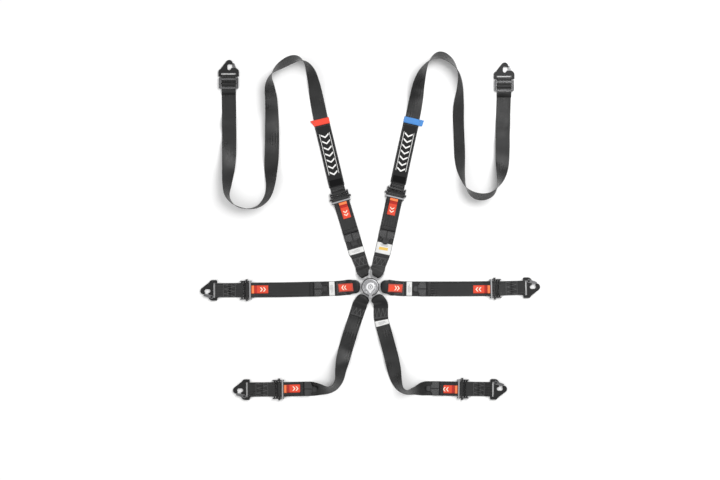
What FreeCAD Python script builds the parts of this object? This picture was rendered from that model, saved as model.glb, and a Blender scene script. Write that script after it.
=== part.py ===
import FreeCAD, Part
import math
import os
import Sketcher

# Six-point racing harness, laid out flat. Millimetres, +Z up, the floor at z = 0.
# The origin is the middle of the release buckle's flat back. The shoulder straps run towards +Y.

os.makedirs("parts", exist_ok=True)
doc = FreeCAD.newDocument("harness")
sheet = doc.addObject("Spreadsheet::Sheet", "Dims")

SIZES = {
    "floor_gap": 0.3,
    "layer_gap": 0.3,
    "web_thick": 1.3,
    "web_width": 50,
    "loop_width": 30,
    "ear_pass_width": 35,
    "base_radius": 31,
    "base_thick": 3,
    "housing_height": 17,
    "nose_slot_half": 9.3,
    "nose_slot_floor": 5,
    "nose_slot_height": 3,
    "cavity_radius": 24,
    "cavity_floor": 10,
    "screw_ring": 27.5,
    "screw_radius": 1.5,
    "screw_length": 8,
    "spindle_radius": 4,
    "spindle_foot": 1.2,
    "spindle_top": 24.2,
    "spindle_head_radius": 6.5,
    "spindle_head_thick": 1.6,
    "tongue_thick": 2.6,
    "tongue_base": 5.2,
    "tongue_bar_at": 48,
    "tongue_bar_wide": 4,
    "tongue_loop_radius": 3.35,
    "ear_pass_gap": 2,
    "upper_pass": 0.9,
    "lower_pass": 4.4,
    "fork_centre": 53,
    "fork_radius": 22,
    "fork_inner": 18.5,
    "fork_end": 60,
    "nose_tip": 8.5,
    "nose_tip_half": 3.9,
    "nose_full_at": 18.4,
    "nose_half": 9,
    "latch_ring": 18,
    "latch_pin_radius": 3,
    "latch_pin_tip": 6.3,
    "latch_plate_radius": 22,
    "latch_plate_base": 11,
    "latch_plate_thick": 2,
    "latch_bore": 6.8,
    "spring_radius": 10,
    "spring_wire": 0.7,
    "cam_radius": 11,
    "cam_thick": 0.7,
    "cam_base": 10.15,
    "cam_hub_radius": 6.2,
    "knob_radius": 28.7,
    "knob_base": 20.3,
    "knob_thick": 6.2,
    "knob_recess_radius": 7.5,
    "knob_recess_base": 24,
    "lever_reach": 39,
    "lever_root_half": 8,
    "lever_tip_radius": 4,
    "cap_radius": 10,
    "cap_thick": 1.8,
    "rail_height": 9,
    "rail_thick": 2.5,
    "rail_length": 40,
    "rail_inner": 30.3,
    "bar_radius": 3,
    "bar_height": 4.95,
    "end_bar_at": 16,
    "lip_at": -15,
    "lip_wide": 6,
    "lip_height": 5.8,
    "lip_base": 2,
    "web_at": 4.8,
    "web_wide": 6.4,
    "web_height": 1,
    "guard_at": -14.5,
    "guard_wide": 5,
    "guard_base": 10.1,
    "guard_thick": 2.5,
    "tail_start": 36,
    "tail_margin": 8,
    "lock_slot_length": 12,
    "lock_bar_half": 38,
    "lock_head_radius": 3.8,
    "lock_head_length": 3,
    "hook_thick": 3,
    "hook_bar_height": 5.2,
    "hook_half": 36,
    "hook_slot_half": 26,
    "hook_slot_wide": 7,
    "hook_bar_half": 3,
    "eye_radius": 6.5,
    "throat_wide": 12,
    "eye_at": 35,
    "eye_off": 2,
    "eye_slot": 8,
    "hook_nose": 56,
    "hook_corner": 4,
    "gate_thick": 1.6,
    "gate_pin_radius": 2.5,
    "gate_pin_head": 4,
    "slider_length": 36,
    "slider_half": 34,
    "slider_rail": 6,
    "slider_bar": 5,
    "slider_rail_height": 9.6,
    "slider_reach": 9,
    "slider_lug": 4.5,
    "slider_corner": 5,
    "sleeve_gap": 0.3,
    "sewn_reach": 22,
    "sewn_lift": 0.1,
    "sleeve_width": 54.6,
    "sleeve_thick": 4.2,
    "sleeve_bore_width": 51.2,
    "sleeve_bore_thick": 2.2,
    "sleeve_lift": 1.4,
}
for row, (alias, value) in enumerate(SIZES.items(), start=1):
    sheet.set(f"A{row}", alias)
    sheet.set(f"B{row}", str(value))
    sheet.setAlias(f"B{row}", alias)
doc.recompute()


def size(alias):
    return float(sheet.get(alias))


UP = FreeCAD.Vector(0, 0, 1)
WEB = size("web_thick")
LAYER = WEB + size("layer_gap")
FLAT_Z = size("floor_gap") + WEB / 2
MESH_STEPS = 3
LOOP_STEPS = 6

nodes = []


def keep(node, thing):
    """Name a finished sub-part, which is what is written out."""
    thing.Label = node
    nodes.append(thing)
    return thing


def placed(x, y, z, heading=0.0, over=False):
    """A placement at a point with local +X along heading, turned face down if over."""
    turn = FreeCAD.Rotation(UP, heading)
    if over:
        turn = turn.multiply(FreeCAD.Rotation(FreeCAD.Vector(1, 0, 0), 180))
    return FreeCAD.Placement(FreeCAD.Vector(x, y, z), turn)


# ---------------------------------------------------------------- primitives


def box(name, lengths, corner):
    """A box whose three lengths are sheet expressions."""
    thing = doc.addObject("Part::Box", name)
    for side, expression in zip(("Length", "Width", "Height"), lengths):
        thing.setExpression(side, expression)
    thing.Placement.Base = FreeCAD.Vector(*corner)
    return thing


def rod(name, radius, height, foot, axis=(0, 0, 1)):
    """A cylinder whose radius and height are sheet expressions."""
    thing = doc.addObject("Part::Cylinder", name)
    thing.setExpression("Radius", radius)
    thing.setExpression("Height", height)
    thing.Placement = FreeCAD.Placement(
        FreeCAD.Vector(*foot), FreeCAD.Rotation(UP, FreeCAD.Vector(*axis))
    )
    return thing


def joined(name, things):
    thing = doc.addObject("Part::MultiFuse", name)
    thing.Shapes = things
    return thing


def rounded_ends(thing, outer, radius):
    """Round the upright edges of a box that stand outer away from the middle."""
    doc.recompute()
    picked = []
    for index, edge in enumerate(thing.Shape.Edges, start=1):
        foot, head = (v.Point for v in edge.Vertexes)
        if math.isclose(abs(foot.y), outer) and foot.x == head.x and foot.y == head.y:
            picked.append((index, radius, radius))
    rounded = doc.addObject("Part::Fillet", f"{thing.Name}_rounded")
    rounded.Base = thing
    rounded.Edges = picked
    return rounded


def cut(name, base, tool):
    thing = doc.addObject("Part::Cut", name)
    thing.Base = base
    thing.Tool = tool
    return thing


# ---------------------------------------------------------------- sketched bodies


def new_body(name):
    return doc.addObject("PartDesign::Body", name)


def new_sketch(body, name, height=0.0):
    """A sketch on the body's own XY plane, raised by height."""
    sketch = body.newObject("Sketcher::SketchObject", name)
    plane = [f for f in body.Origin.OriginFeatures if f.Role == "XY_Plane"][0]
    sketch.AttachmentSupport = [(plane, "")]
    sketch.MapMode = "FlatFace"
    sketch.AttachmentOffset = FreeCAD.Placement(FreeCAD.Vector(0, 0, height), FreeCAD.Rotation())
    return sketch


def circle(sketch, x, y, radius):
    """A circle with its radius bound to a sheet expression."""
    ring = Part.Circle(FreeCAD.Vector(x, y, 0), UP, sheet_value(radius))
    index = sketch.addGeometry(ring, False)
    rule = sketch.addConstraint(Sketcher.Constraint("Radius", index, sheet_value(radius)))
    sketch.setExpression(f"Constraints[{rule}]", radius)


def sheet_value(expression):
    """The number a plain sum of sheet cells and constants gives."""
    total = 0.0
    for term in expression.split("+"):
        term = term.strip()
        total += size(term[5:]) if term.startswith("Dims.") else float(term)
    return total


def outline(sketch, corners):
    """A closed chain of lines. A corner given as three points is an arc through them."""
    points = [c if isinstance(c[0], tuple) else (c,) for c in corners]
    for now, after in zip(points, points[1:] + points[:1]):
        if len(now) == 3:
            a, b, c = (FreeCAD.Vector(x, y, 0) for x, y in now)
            sketch.addGeometry(Part.Arc(a, b, c), False)
        start = FreeCAD.Vector(*now[-1], 0)
        end = FreeCAD.Vector(*after[0], 0)
        if start.distanceToPoint(end) > 1e-6:
            sketch.addGeometry(Part.LineSegment(start, end), False)


def pad(body, sketch, height):
    feature = body.newObject("PartDesign::Pad", sketch.Name + "_pad")
    feature.Profile = sketch
    feature.setExpression("Length", height)
    return feature


def pocket(body, sketch, depth, upwards=True):
    """Cut a sketch into the body, towards +Z from the sketch plane unless upwards is false."""
    feature = body.newObject("PartDesign::Pocket", sketch.Name + "_pocket")
    feature.Profile = sketch
    feature.Reversed = upwards
    feature.setExpression("Length", depth)
    return feature


# ---------------------------------------------------------------- webbing


def between(stations, steps=MESH_STEPS):
    """Rows that run smoothly through a list of stations, with steps rows to each gap."""
    spans = [math.dist(a[:2], b[:2]) for a, b in zip(stations, stations[1:])]
    slopes = []
    for i, here in enumerate(stations):
        before = max(i - 1, 0)
        after = min(i + 1, len(stations) - 1)
        gap = sum(spans[before:after])
        slopes.append([(b - a) / gap for a, b in zip(stations[before], stations[after])])
    rows = []
    for i, span in enumerate(spans):
        for step in range(steps):
            t = step / steps
            h = (2 * t**3 - 3 * t**2 + 1, t**3 - 2 * t**2 + t, 3 * t**2 - 2 * t**3, t**3 - t**2)
            ends = zip(stations[i], slopes[i], stations[i + 1], slopes[i + 1])
            rows.append([h[0] * p + h[1] * m * span + h[2] * q + h[3] * n * span for p, m, q, n in ends])
    rows.append(list(stations[-1]))
    return rows


def route(stations):
    """Frames (middle, direction across, width) of webbing that lies on the floor along stations.

    A station is x, y, roll, width and lift. Roll lifts the edge on the right of the way it runs.
    """
    rows = between(stations)
    frames = []
    for i, (x, y, roll, width, lift) in enumerate(rows):
        before, after = rows[max(i - 1, 0)], rows[min(i + 1, len(rows) - 1)]
        ahead = FreeCAD.Vector(after[0] - before[0], after[1] - before[1], 0).normalize()
        right = FreeCAD.Vector(ahead.y, -ahead.x, 0)
        tilt = math.radians(roll)
        across = right * math.cos(tilt) + UP * math.sin(tilt)
        stand = abs(math.cos(tilt)) * WEB / 2 + abs(math.sin(tilt)) * width / 2
        middle = FreeCAD.Vector(x, y, size("floor_gap") + stand + lift)
        frames.append((middle, across, width))
    return frames


def raised(frames, height):
    return [(middle + UP * height, across, width) for middle, across, width in frames]


def side_frames(origin, heading, points, width, across_heading=None):
    """Frames along points (distance, height) in the upright plane through origin."""
    along = FreeCAD.Vector(math.cos(math.radians(heading)), math.sin(math.radians(heading)), 0)
    facing = math.radians(heading if across_heading is None else across_heading)
    across = FreeCAD.Vector(math.sin(facing), -math.cos(facing), 0)
    return [(FreeCAD.Vector(*origin, 0) + along * s + UP * z, across, width) for s, z in points]


def turn_points(distance, height, radius, start, end):
    """Points of a turn round a bar, as angles in the upright plane."""
    angles = [math.radians(start + (end - start) * k / LOOP_STEPS) for k in range(LOOP_STEPS + 1)]
    return [(distance + radius * math.cos(a), height + radius * math.sin(a)) for a in angles]


def ribbon(frames, thick=WEB, spare=0.0):
    """A solid strip of webbing through frames, as one ruled loft of rectangles."""
    wires = []
    for i, (middle, across, width) in enumerate(frames):
        before, after = frames[max(i - 1, 0)][0], frames[min(i + 1, len(frames) - 1)][0]
        normal = across.cross(after - before).normalize() * (thick / 2)
        side = across * (width / 2 + spare)
        corners = [middle + side + normal, middle - side + normal]
        corners += [middle - side - normal, middle + side - normal]
        wires.append(Part.makePolygon(corners + corners[:1]))
    return Part.makeLoft(wires, True, True)


def cloth(node, shape):
    """A fabric sub-part, whose shape no sketch or primitive gives."""
    thing = doc.addObject("Part::Feature", node)
    thing.Shape = shape
    return keep(node, thing)


# ---------------------------------------------------------------- layout
# Angles are in degrees anticlockwise from +X. Stations are x, y, roll, width, lift.

W = size("web_width")
SHOULDER_W = W + 6
LAP_W = W + 2
IN = size("sleeve_lift")

STRAPS = {
    "shoulder_left": {
        "tongue": 117,
        "width": SHOULDER_W,
        "route": [(-33, 70, 0), (-43, 104, 0), (-76, 216, 0), (-98, 288, 0)],
        "adjuster": (-105, 311, 106.2),
        "tail": 178,
        "hook": (-495, 737, 90, True),
    },
    "shoulder_right": {
        "tongue": 63,
        "width": SHOULDER_W,
        "route": [(33, 70, 0), (40, 104, 0), (65, 216, 0), (83, 301, 0)],
        "adjuster": (88.5, 324.5, 76.7),
        "tail": 180,
        "hook": (468, 728, 90, True),
    },
    "lap_left": {
        "tongue": 180,
        "width": LAP_W,
        "route": [(-78, -2, 0), (-120, -6, 0), (-300, -10.5, 0), (-408, -11.5, 0)],
        "adjuster": (-432, -11.7, 180.5),
        "tail": 284,
        "hook": (-538, -12.5, 180.5, False),
    },
    "lap_right": {
        "tongue": 0,
        "width": LAP_W,
        "route": [(78, -4, 0), (120, -7, 0), (300, -7.5, 0), (411, -6.5, 0)],
        "adjuster": (435, -6.2, 1.5),
        "tail": 287,
        "hook": (537.5, -3.5, 1.5, False),
    },
    "crotch_left": {
        "tongue": 240,
        "width": W,
        "route": [
            (-39, -70, 0),
            (-50, -103, 0),
            (-73, -173, 0),
            (-93, -243, 12),
            (-102, -284, 32),
            (-109, -325, 52),
            (-125, -350, 60),
            (-148, -360, 55),
            (-180, -358, 30),
            (-212, -357, 0),
            (-294, -358.5, 0),
        ],
        "adjuster": (-318.5, -358.8, 180.5),
        "tail": 134,
        "hook": (-424, -359.7, 180.5, False),
    },
    "crotch_right": {
        "tongue": 300,
        "width": W,
        "route": [
            (37, -70, 0),
            (38, -112, 0),
            (52, -165, 0),
            (73, -243, 0),
            (82, -284, -18),
            (91, -326, -42),
            (104, -354, -60),
            (126, -367, -66),
            (156, -362, -50),
            (188, -356, -10),
            (212, -355.5, 0),
            (297, -356.8, 0),
        ],
        "adjuster": (321, -357, 359.2),
        "tail": 128,
        "hook": (422, -358.4, 359.2, False),
    },
}

# The long outer strap of each shoulder: sleeve, arch, middle leg, bottom turn and outer leg.
LONG_ROUTES = {
    "shoulder_left": [
        (-112.8, 338, 0, W, 0),
        (-116.5, 350.5, 0, W, IN),
        (-142, 458, 0, W, IN),
        (-168, 566, 0, W, IN),
        (-176, 600, 0, W, IN),
        (-188, 660, 16, W, 0),
        (-197, 710, 34, W, 0),
        (-209, 751, 54, W, 0),
        (-229, 783, 90, W, 0),
        (-262, 795, 128, W, 0),
        (-308, 775, 122, W, 0),
        (-344, 740, 92, W, 0),
        (-350, 700, 57, W, 0),
        (-345, 647, 34, W, 0),
        (-343, 560, 16, W, 0),
        (-344, 470, 0, W, 0),
        (-347, 410, -18, W, 0),
        (-348, 355, -42, W, 0),
        (-361, 311, -64, W, 0),
        (-392, 280, -84, W, 0),
        (-433, 273, -90, W, 0),
        (-475, 287, -88, W, 0),
        (-498, 318, -76, W, 0),
        (-499, 362, -54, W, 0),
        (-494, 420, -27, W, 0),
        (-493, 500, -8, W, 0),
        (-494, 600, 0, W, 0),
        (-495, 672, 0, W, 0),
    ],
    "shoulder_right": [
        (94.8, 351, 0, W, 0),
        (97.3, 362, 0, W, IN),
        (119, 464, 0, W, IN),
        (142.5, 569, 0, W, IN),
        (150.5, 603, 0, W, IN),
        (161, 660, -16, W, 0),
        (170, 710, -38, W, 0),
        (185, 754, -60, W, 0),
        (209, 790, -90, W, 0),
        (243, 808, -126, W, 0),
        (280, 789, -124, W, 0),
        (306, 748, -94, W, 0),
        (312, 700, -66, W, 0),
        (308, 640, -48, W, 0),
        (307, 584, -45, W, 0),
        (310, 500, -46, W, 0),
        (314, 420, -56, W, 0),
        (322, 378, -70, W, 0),
        (335, 345, -92, W, 0),
        (360, 321, -120, W, 0),
        (391, 314, -126, W, 0),
        (421, 323, -112, W, 0),
        (441, 346, -84, W, 0),
        (455, 383, -46, W, 0),
        (461, 440, -14, W, 0),
        (463, 540, 0, W, 0),
        (467, 663, 0, W, 0),
    ],
}
SLEEVE_ROWS = (3, 9)
COLOUR_LOOP_ROWS = (9, 11)


# ---------------------------------------------------------------- buckle


def tongue_angles(released_only=False):
    names = [n for n in STRAPS if not (released_only and n == "lap_right")]
    return [STRAPS[n]["tongue"] for n in names]


def ring_points(radius, angles):
    return [(radius * math.cos(math.radians(a)), radius * math.sin(math.radians(a))) for a in angles]


def screw_angles():
    """Half way between each two neighbouring tongues."""
    angles = sorted(tongue_angles())
    return [(a + b) / 2 for a, b in zip(angles, angles[1:] + [angles[0] + 360])]


def buckle_base():
    body = new_body("base_body")
    disc = new_sketch(body, "base_disc")
    circle(disc, 0, 0, "Dims.base_radius")
    pad(body, disc, "Dims.base_thick")
    doc.recompute()
    seat = new_sketch(body, "base_seat", size("spindle_foot"))
    circle(seat, 0, 0, "Dims.spindle_radius + 0.05")
    pocket(body, seat, "Dims.base_thick")
    holes = new_sketch(body, "base_holes")
    for x, y in ring_points(size("screw_ring"), screw_angles()):
        circle(holes, x, y, "Dims.screw_radius + 0.05")
    pocket(body, holes, "Dims.base_thick + 1")
    bolt_seat = new_sketch(body, "base_bolt_seat", size("spindle_foot"))
    circle(bolt_seat, size("latch_ring"), 0, "Dims.latch_pin_radius + 0.25")
    pocket(body, bolt_seat, "Dims.base_thick")
    return keep("buckle_base", body)


def buckle_housing():
    foot = size("base_thick")
    shell = rod("housing_shell", "Dims.base_radius", "Dims.housing_height", (0, 0, foot))
    cavity = rod("housing_cavity", "Dims.cavity_radius", "Dims.housing_height", (0, 0, size("cavity_floor")))
    bore = rod("housing_bore", "Dims.spindle_radius + 0.2", "Dims.housing_height", (0, 0, foot - 1))
    tools = [cavity, bore]
    for i, angle in enumerate(tongue_angles()):
        slot = box(
            f"nose_slot_{i}",
            ("Dims.base_radius + 1", "2 * Dims.nose_slot_half", "Dims.nose_slot_height"),
            (0, 0, 0),
        )
        shift = FreeCAD.Placement(
            FreeCAD.Vector(0, -size("nose_slot_half"), size("nose_slot_floor")), FreeCAD.Rotation()
        )
        slot.Placement = placed(0, 0, 0, angle).multiply(shift)
        tools.append(slot)
    for i, (x, y) in enumerate(ring_points(size("latch_ring"), tongue_angles())):
        hole = rod(f"pin_hole_{i}", "Dims.latch_pin_radius + 0.3", "Dims.housing_height", (x, y, foot - 1))
        tools.append(hole)
    for i, (x, y) in enumerate(ring_points(size("screw_ring"), screw_angles())):
        tools.append(rod(f"thread_{i}", "Dims.screw_radius + 0.05", "Dims.screw_length", (x, y, foot - 1)))
    return keep("buckle_housing", cut("housing", shell, joined("housing_tools", tools)))


def buckle_spindle():
    foot = size("spindle_foot")
    shaft = rod("spindle_shaft", "Dims.spindle_radius", "Dims.spindle_top - Dims.spindle_foot", (0, 0, foot))
    shoulder = (0, 0, size("spindle_top"))
    head = rod("spindle_head", "Dims.spindle_head_radius", "Dims.spindle_head_thick", shoulder)
    return keep("buckle_spindle", joined("spindle", [shaft, head]))


def base_screws():
    """The screws that hold the housing on its base, and the bolt that keeps one lap tongue in."""
    screws = []
    for i, (x, y) in enumerate(ring_points(size("screw_ring"), screw_angles())):
        screws.append(rod(f"screw_{i}", "Dims.screw_radius", "Dims.screw_length", (x, y, size("floor_gap"))))
    bolt = rod(
        "fixed_bolt",
        "Dims.latch_pin_radius + 0.2",
        "Dims.nose_slot_floor + Dims.nose_slot_height",
        (size("latch_ring"), 0, size("spindle_foot")),
    )
    thing = doc.addObject("Part::Compound", "screws")
    thing.Links = screws + [bolt]
    return keep("base_screws", thing)


def latch_plate():
    """The lifting plate with the five pins that hold the released tongues."""
    base = size("latch_plate_base")
    disc = rod("latch_disc", "Dims.latch_plate_radius", "Dims.latch_plate_thick", (0, 0, base))
    pins = []
    for i, (x, y) in enumerate(ring_points(size("latch_ring"), tongue_angles(True))):
        length = "Dims.latch_plate_base - Dims.latch_pin_tip + 1"
        pins.append(rod(f"latch_pin_{i}", "Dims.latch_pin_radius", length, (x, y, size("latch_pin_tip"))))
    bore = rod("latch_bore_tool", "Dims.latch_bore", "Dims.housing_height", (0, 0, size("cavity_floor")))
    return keep("latch_plate", cut("latch", joined("latch_blank", [disc] + pins), bore))


def latch_spring():
    """A coil between the latch plate and the knob, in three turns."""
    wire = size("spring_wire")
    foot = size("latch_plate_base") + size("latch_plate_thick") + wire + 0.1
    height = size("knob_base") - 0.2 - wire - foot
    coil = Part.makeHelix(height / 3, height, size("spring_radius"))
    start = FreeCAD.Vector(size("spring_radius"), 0, 0)
    profile = Part.Wire(Part.makeCircle(wire, start, FreeCAD.Vector(0, 1, 0)))
    thing = doc.addObject("Part::Feature", "spring")
    thing.Shape = Part.Wire(coil.Edges).makePipeShell([profile], True, True)
    thing.Placement.Base = FreeCAD.Vector(0, 0, foot)
    return keep("latch_spring", thing)


def release_cam():
    flange = rod("cam_flange", "Dims.cam_radius", "Dims.cam_thick", (0, 0, size("cam_base")))
    hub = rod("cam_hub", "Dims.cam_hub_radius", "Dims.knob_base - Dims.cam_base", (0, 0, size("cam_base")))
    bore = rod("cam_bore", "Dims.spindle_radius + 0.08", "Dims.housing_height", (0, 0, size("cam_base") - 1))
    return keep("release_cam", cut("cam", joined("cam_blank", [flange, hub]), bore))


def release_knob():
    body = new_body("knob_body")
    dial = new_sketch(body, "knob_dial", size("knob_base"))
    circle(dial, 0, 0, "Dims.knob_radius")
    pad(body, dial, "Dims.knob_thick")
    lever = new_sketch(body, "knob_lever", size("knob_base"))
    root, reach, tip = size("lever_root_half"), size("lever_reach"), size("lever_tip_radius")
    start = -size("spindle_head_radius") * 2
    outline(
        lever,
        [(root, start), ((tip, -reach), (0, -reach - tip), (-tip, -reach)), (-root, start)],
    )
    pad(body, lever, "Dims.knob_thick")
    doc.recompute()
    bore = new_sketch(body, "knob_bore", size("knob_base"))
    circle(bore, 0, 0, "Dims.spindle_radius + 0.08")
    pocket(body, bore, "Dims.knob_thick")
    recess = new_sketch(body, "knob_recess", size("knob_recess_base"))
    circle(recess, 0, 0, "Dims.knob_recess_radius")
    pocket(body, recess, "Dims.knob_thick")
    return keep("release_knob", body)


def knob_cap():
    top = size("knob_base") + size("knob_thick")
    return keep("knob_cap", rod("cap", "Dims.cap_radius", "Dims.cap_thick", (0, 0, top)))


# ---------------------------------------------------------------- parts of each strap


def tongue(strap, angle):
    """Nose with its latch hole, U-shaped fork, and the bar that the webbing turns round."""
    body = new_body(f"{strap}_tongue_body")
    plate = new_sketch(body, f"{strap}_tongue_plate")
    middle, outer, inner = size("fork_centre"), size("fork_radius"), size("fork_inner")
    end, nose = size("fork_end"), size("nose_half")
    foot = middle - math.sqrt(outer**2 - nose**2)
    lean = math.radians(135)
    far = (middle + outer * math.cos(lean), outer * math.sin(lean))
    near = (middle - inner, 0)
    tip = (outer + inner) / 2
    bulge = (outer - inner) / 2
    outline(
        plate,
        [
            (size("nose_tip"), -size("nose_tip_half")),
            (size("nose_full_at"), -nose),
            ((foot, -nose), (far[0], -far[1]), (middle, -outer)),
            ((end, -outer), (end + bulge, -tip), (end, -inner)),
            ((middle, -inner), near, (middle, inner)),
            ((end, inner), (end + bulge, tip), (end, outer)),
            ((middle, outer), far, (foot, nose)),
            (size("nose_full_at"), nose),
            (size("nose_tip"), size("nose_tip_half")),
        ],
    )
    pad(body, plate, "Dims.tongue_thick")
    bar = new_sketch(body, f"{strap}_tongue_bar")
    at, half = size("tongue_bar_at"), size("tongue_bar_wide") / 2
    reach = inner + bulge / 2
    outline(bar, [(at - half, -reach), (at + half, -reach), (at + half, reach), (at - half, reach)])
    pad(body, bar, "Dims.tongue_thick")
    doc.recompute()
    hole = new_sketch(body, f"{strap}_tongue_hole")
    pin = size("latch_pin_radius")
    inboard, outboard, side = size("latch_ring") - 2 * pin - 0.4, size("latch_ring") + pin + 0.3, pin + 0.5
    outline(hole, [(inboard, -side), (outboard, -side), (outboard, side), (inboard, side)])
    pocket(body, hole, "Dims.tongue_thick")
    body.Placement = placed(0, 0, size("tongue_base"), angle)
    return keep(f"{strap}_tongue", body)


def strap_webbing(strap, spec):
    """The adjustable webbing: sewn overlap, turn round the tongue, run, turn round the lock bar, tail."""
    width = spec["width"]
    low = route([(x, y, roll, width, 0) for x, y, roll in spec["route"]])
    axis_z = size("tongue_base") + size("tongue_thick") / 2
    beyond = size("fork_end") + size("ear_pass_gap")
    over, under = axis_z + size("upper_pass"), axis_z - size("lower_pass")
    loop_turn = turn_points(size("tongue_bar_at"), axis_z, size("tongue_loop_radius"), 90, 270)
    frames = raised(low[: MESH_STEPS + 1], LAYER)[::-1]
    frames += side_frames((0, 0), spec["tongue"], [(beyond, over)], size("ear_pass_width"))
    frames += side_frames((0, 0), spec["tongue"], loop_turn, size("loop_width"))
    frames += side_frames((0, 0), spec["tongue"], [(beyond, under)], size("ear_pass_width"))
    frames += low
    x, y, heading = spec["adjuster"]
    height, radius = size("bar_height"), size("bar_radius") + size("layer_gap") + WEB / 2
    lip = size("lip_at")
    frames += side_frames((x, y), heading, turn_points(0, height, radius, -90, 90), width)
    over_lip = [(lip + 2, height + radius), (lip - 2, height + radius - 0.3)]
    frames += side_frames((x, y), heading, over_lip, width)
    frames += tail_frames(low, (x, y), spec["tail"])
    return cloth(f"{strap}_strap", ribbon(frames))


def tail_frames(low, start, length):
    """The free end, which lies on the run below it, from beside the adjuster back towards the buckle."""
    frames = []
    for middle, across, width in raised(low, LAYER)[::-1]:
        gone = math.dist(start, (middle.x, middle.y))
        if size("tail_start") < gone < length - size("tail_margin"):
            frames.append((middle, across, width))
    end, ahead = frames[-1], (frames[-1][0] - frames[-2][0]).normalize()
    left = length - math.dist(start, (end[0].x, end[0].y))
    frames.append((end[0] + ahead * left, end[1], end[2]))
    return frames


def adjuster_frame(strap, spec):
    """Two rails, the round end bar, the lip under the tail, the guard bar over it and the floor web."""
    inner, thick, length = size("rail_inner"), size("rail_thick"), size("rail_length")
    start, foot = size("lip_at") - 2, size("floor_gap") + 0.1
    rails = []
    for side, edge in (("a", inner), ("b", -inner - thick)):
        rail_sides = ("Dims.rail_length", "Dims.rail_thick", "Dims.rail_height")
        rail = box(f"{strap}_rail_{side}", rail_sides, (start, edge, foot))
        rails.append(rail)
    span = "2 * (Dims.rail_inner + 1)"
    end_bar = rod(
        f"{strap}_end_bar",
        "Dims.bar_radius",
        span,
        (size("end_bar_at"), -inner - 1, size("bar_height")),
        (0, 1, 0),
    )
    lip_corner = (size("lip_at"), -inner - 1, size("lip_base"))
    lip = box(f"{strap}_lip", ("Dims.lip_wide", span, "Dims.lip_height"), lip_corner)
    web = box(f"{strap}_web", ("Dims.web_wide", span, "Dims.web_height"), (size("web_at"), -inner - 1, foot))
    guard_at, guard_base = size("guard_at"), size("guard_base")
    across = "2 * (Dims.rail_inner + Dims.rail_thick)"
    guard = box(
        f"{strap}_guard",
        ("Dims.guard_wide", across, "Dims.guard_thick"),
        (guard_at, -inner - thick, guard_base),
    )
    posts = []
    for side, edge in (("a", inner), ("b", -inner - thick)):
        height = "Dims.guard_base + Dims.guard_thick - Dims.bar_height"
        lengths = ("Dims.guard_wide", "Dims.rail_thick", height)
        posts.append(box(f"{strap}_post_{side}", lengths, (guard_at, edge, size("bar_height"))))
    slot_half = size("lock_slot_length") / 2
    radius = size("bar_radius") + 0.25
    slot = box(
        f"{strap}_lock_slot",
        ("Dims.lock_slot_length", "2 * Dims.lock_bar_half", "2 * (Dims.bar_radius + 0.25)"),
        (-slot_half, -size("lock_bar_half"), size("bar_height") - radius),
    )
    blank = joined(f"{strap}_frame_blank", rails + posts + [end_bar, lip, web, guard])
    frame = cut(f"{strap}_frame", blank, slot)
    frame.Placement = placed(spec["adjuster"][0], spec["adjuster"][1], 0, spec["adjuster"][2])
    return keep(f"{strap}_adjuster_frame", frame)


def lock_bar(strap, spec):
    """The sliding bar that the adjustable webbing turns round, with a head at each end."""
    half, head = size("lock_bar_half"), size("lock_head_length")
    shaft = rod(f"{strap}_lock_shaft", "Dims.bar_radius", "2 * Dims.lock_bar_half", (0, -half, 0), (0, 1, 0))
    ends = [
        rod(f"{strap}_lock_head_{k}", "Dims.lock_head_radius", "Dims.lock_head_length", (0, y, 0), (0, 1, 0))
        for k, y in enumerate((-half, half - head))
    ]
    bar = joined(f"{strap}_lock", [shaft] + ends)
    x, y, heading = spec["adjuster"]
    bar.Placement = placed(x, y, size("bar_height"), heading)
    return keep(f"{strap}_lock_bar", bar)


def end_bar_point(spec):
    x, y, heading = spec["adjuster"]
    turn = math.radians(heading)
    return x + size("end_bar_at") * math.cos(turn), y + size("end_bar_at") * math.sin(turn)


def short_anchor_strap(strap, spec):
    """The doubled webbing between the adjuster's end bar and the hook."""
    start = end_bar_point(spec)
    hook = spec["hook"]
    heading = math.degrees(math.atan2(hook[1] - start[1], hook[0] - start[0]))
    length = math.dist(start, hook[:2])
    radius = size("bar_radius") + size("layer_gap") + WEB / 2
    hook_radius = size("bar_radius") + 2 * size("layer_gap") + WEB / 2
    near, middle, far = size("sewn_reach"), length / 2, length - size("sewn_reach")
    top = FLAT_Z + LAYER + size("sewn_lift")
    points = [(middle + 0.5, top), (far, top)]
    points += turn_points(length, size("hook_bar_height"), hook_radius, 90, -90)
    points += [(far, FLAT_Z), (near, FLAT_Z)]
    points += turn_points(0, size("bar_height"), radius, 270, 90)
    points += [(near, top), (middle - 0.5, top)]
    frames = side_frames(start, heading, points, size("web_width"))
    return cloth(f"{strap}_anchor_strap", ribbon(frames))


def long_anchor_strap(strap, spec):
    """The long shoulder webbing: sewn round the adjuster's end bar, then the whole way to the hook."""
    x, y, heading = spec["adjuster"]
    start = end_bar_point(spec)
    low = route(LONG_ROUTES[strap])
    radius = size("bar_radius") + size("layer_gap") + WEB / 2
    overlap = raised(low[1:2], LAYER)
    turn = turn_points(0, size("bar_height"), radius, 90, 270)
    frames = overlap + side_frames(start, heading, turn, size("web_width"))
    frames += low + hook_end(spec)
    return cloth(f"{strap}_long_strap", ribbon(frames))


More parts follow.
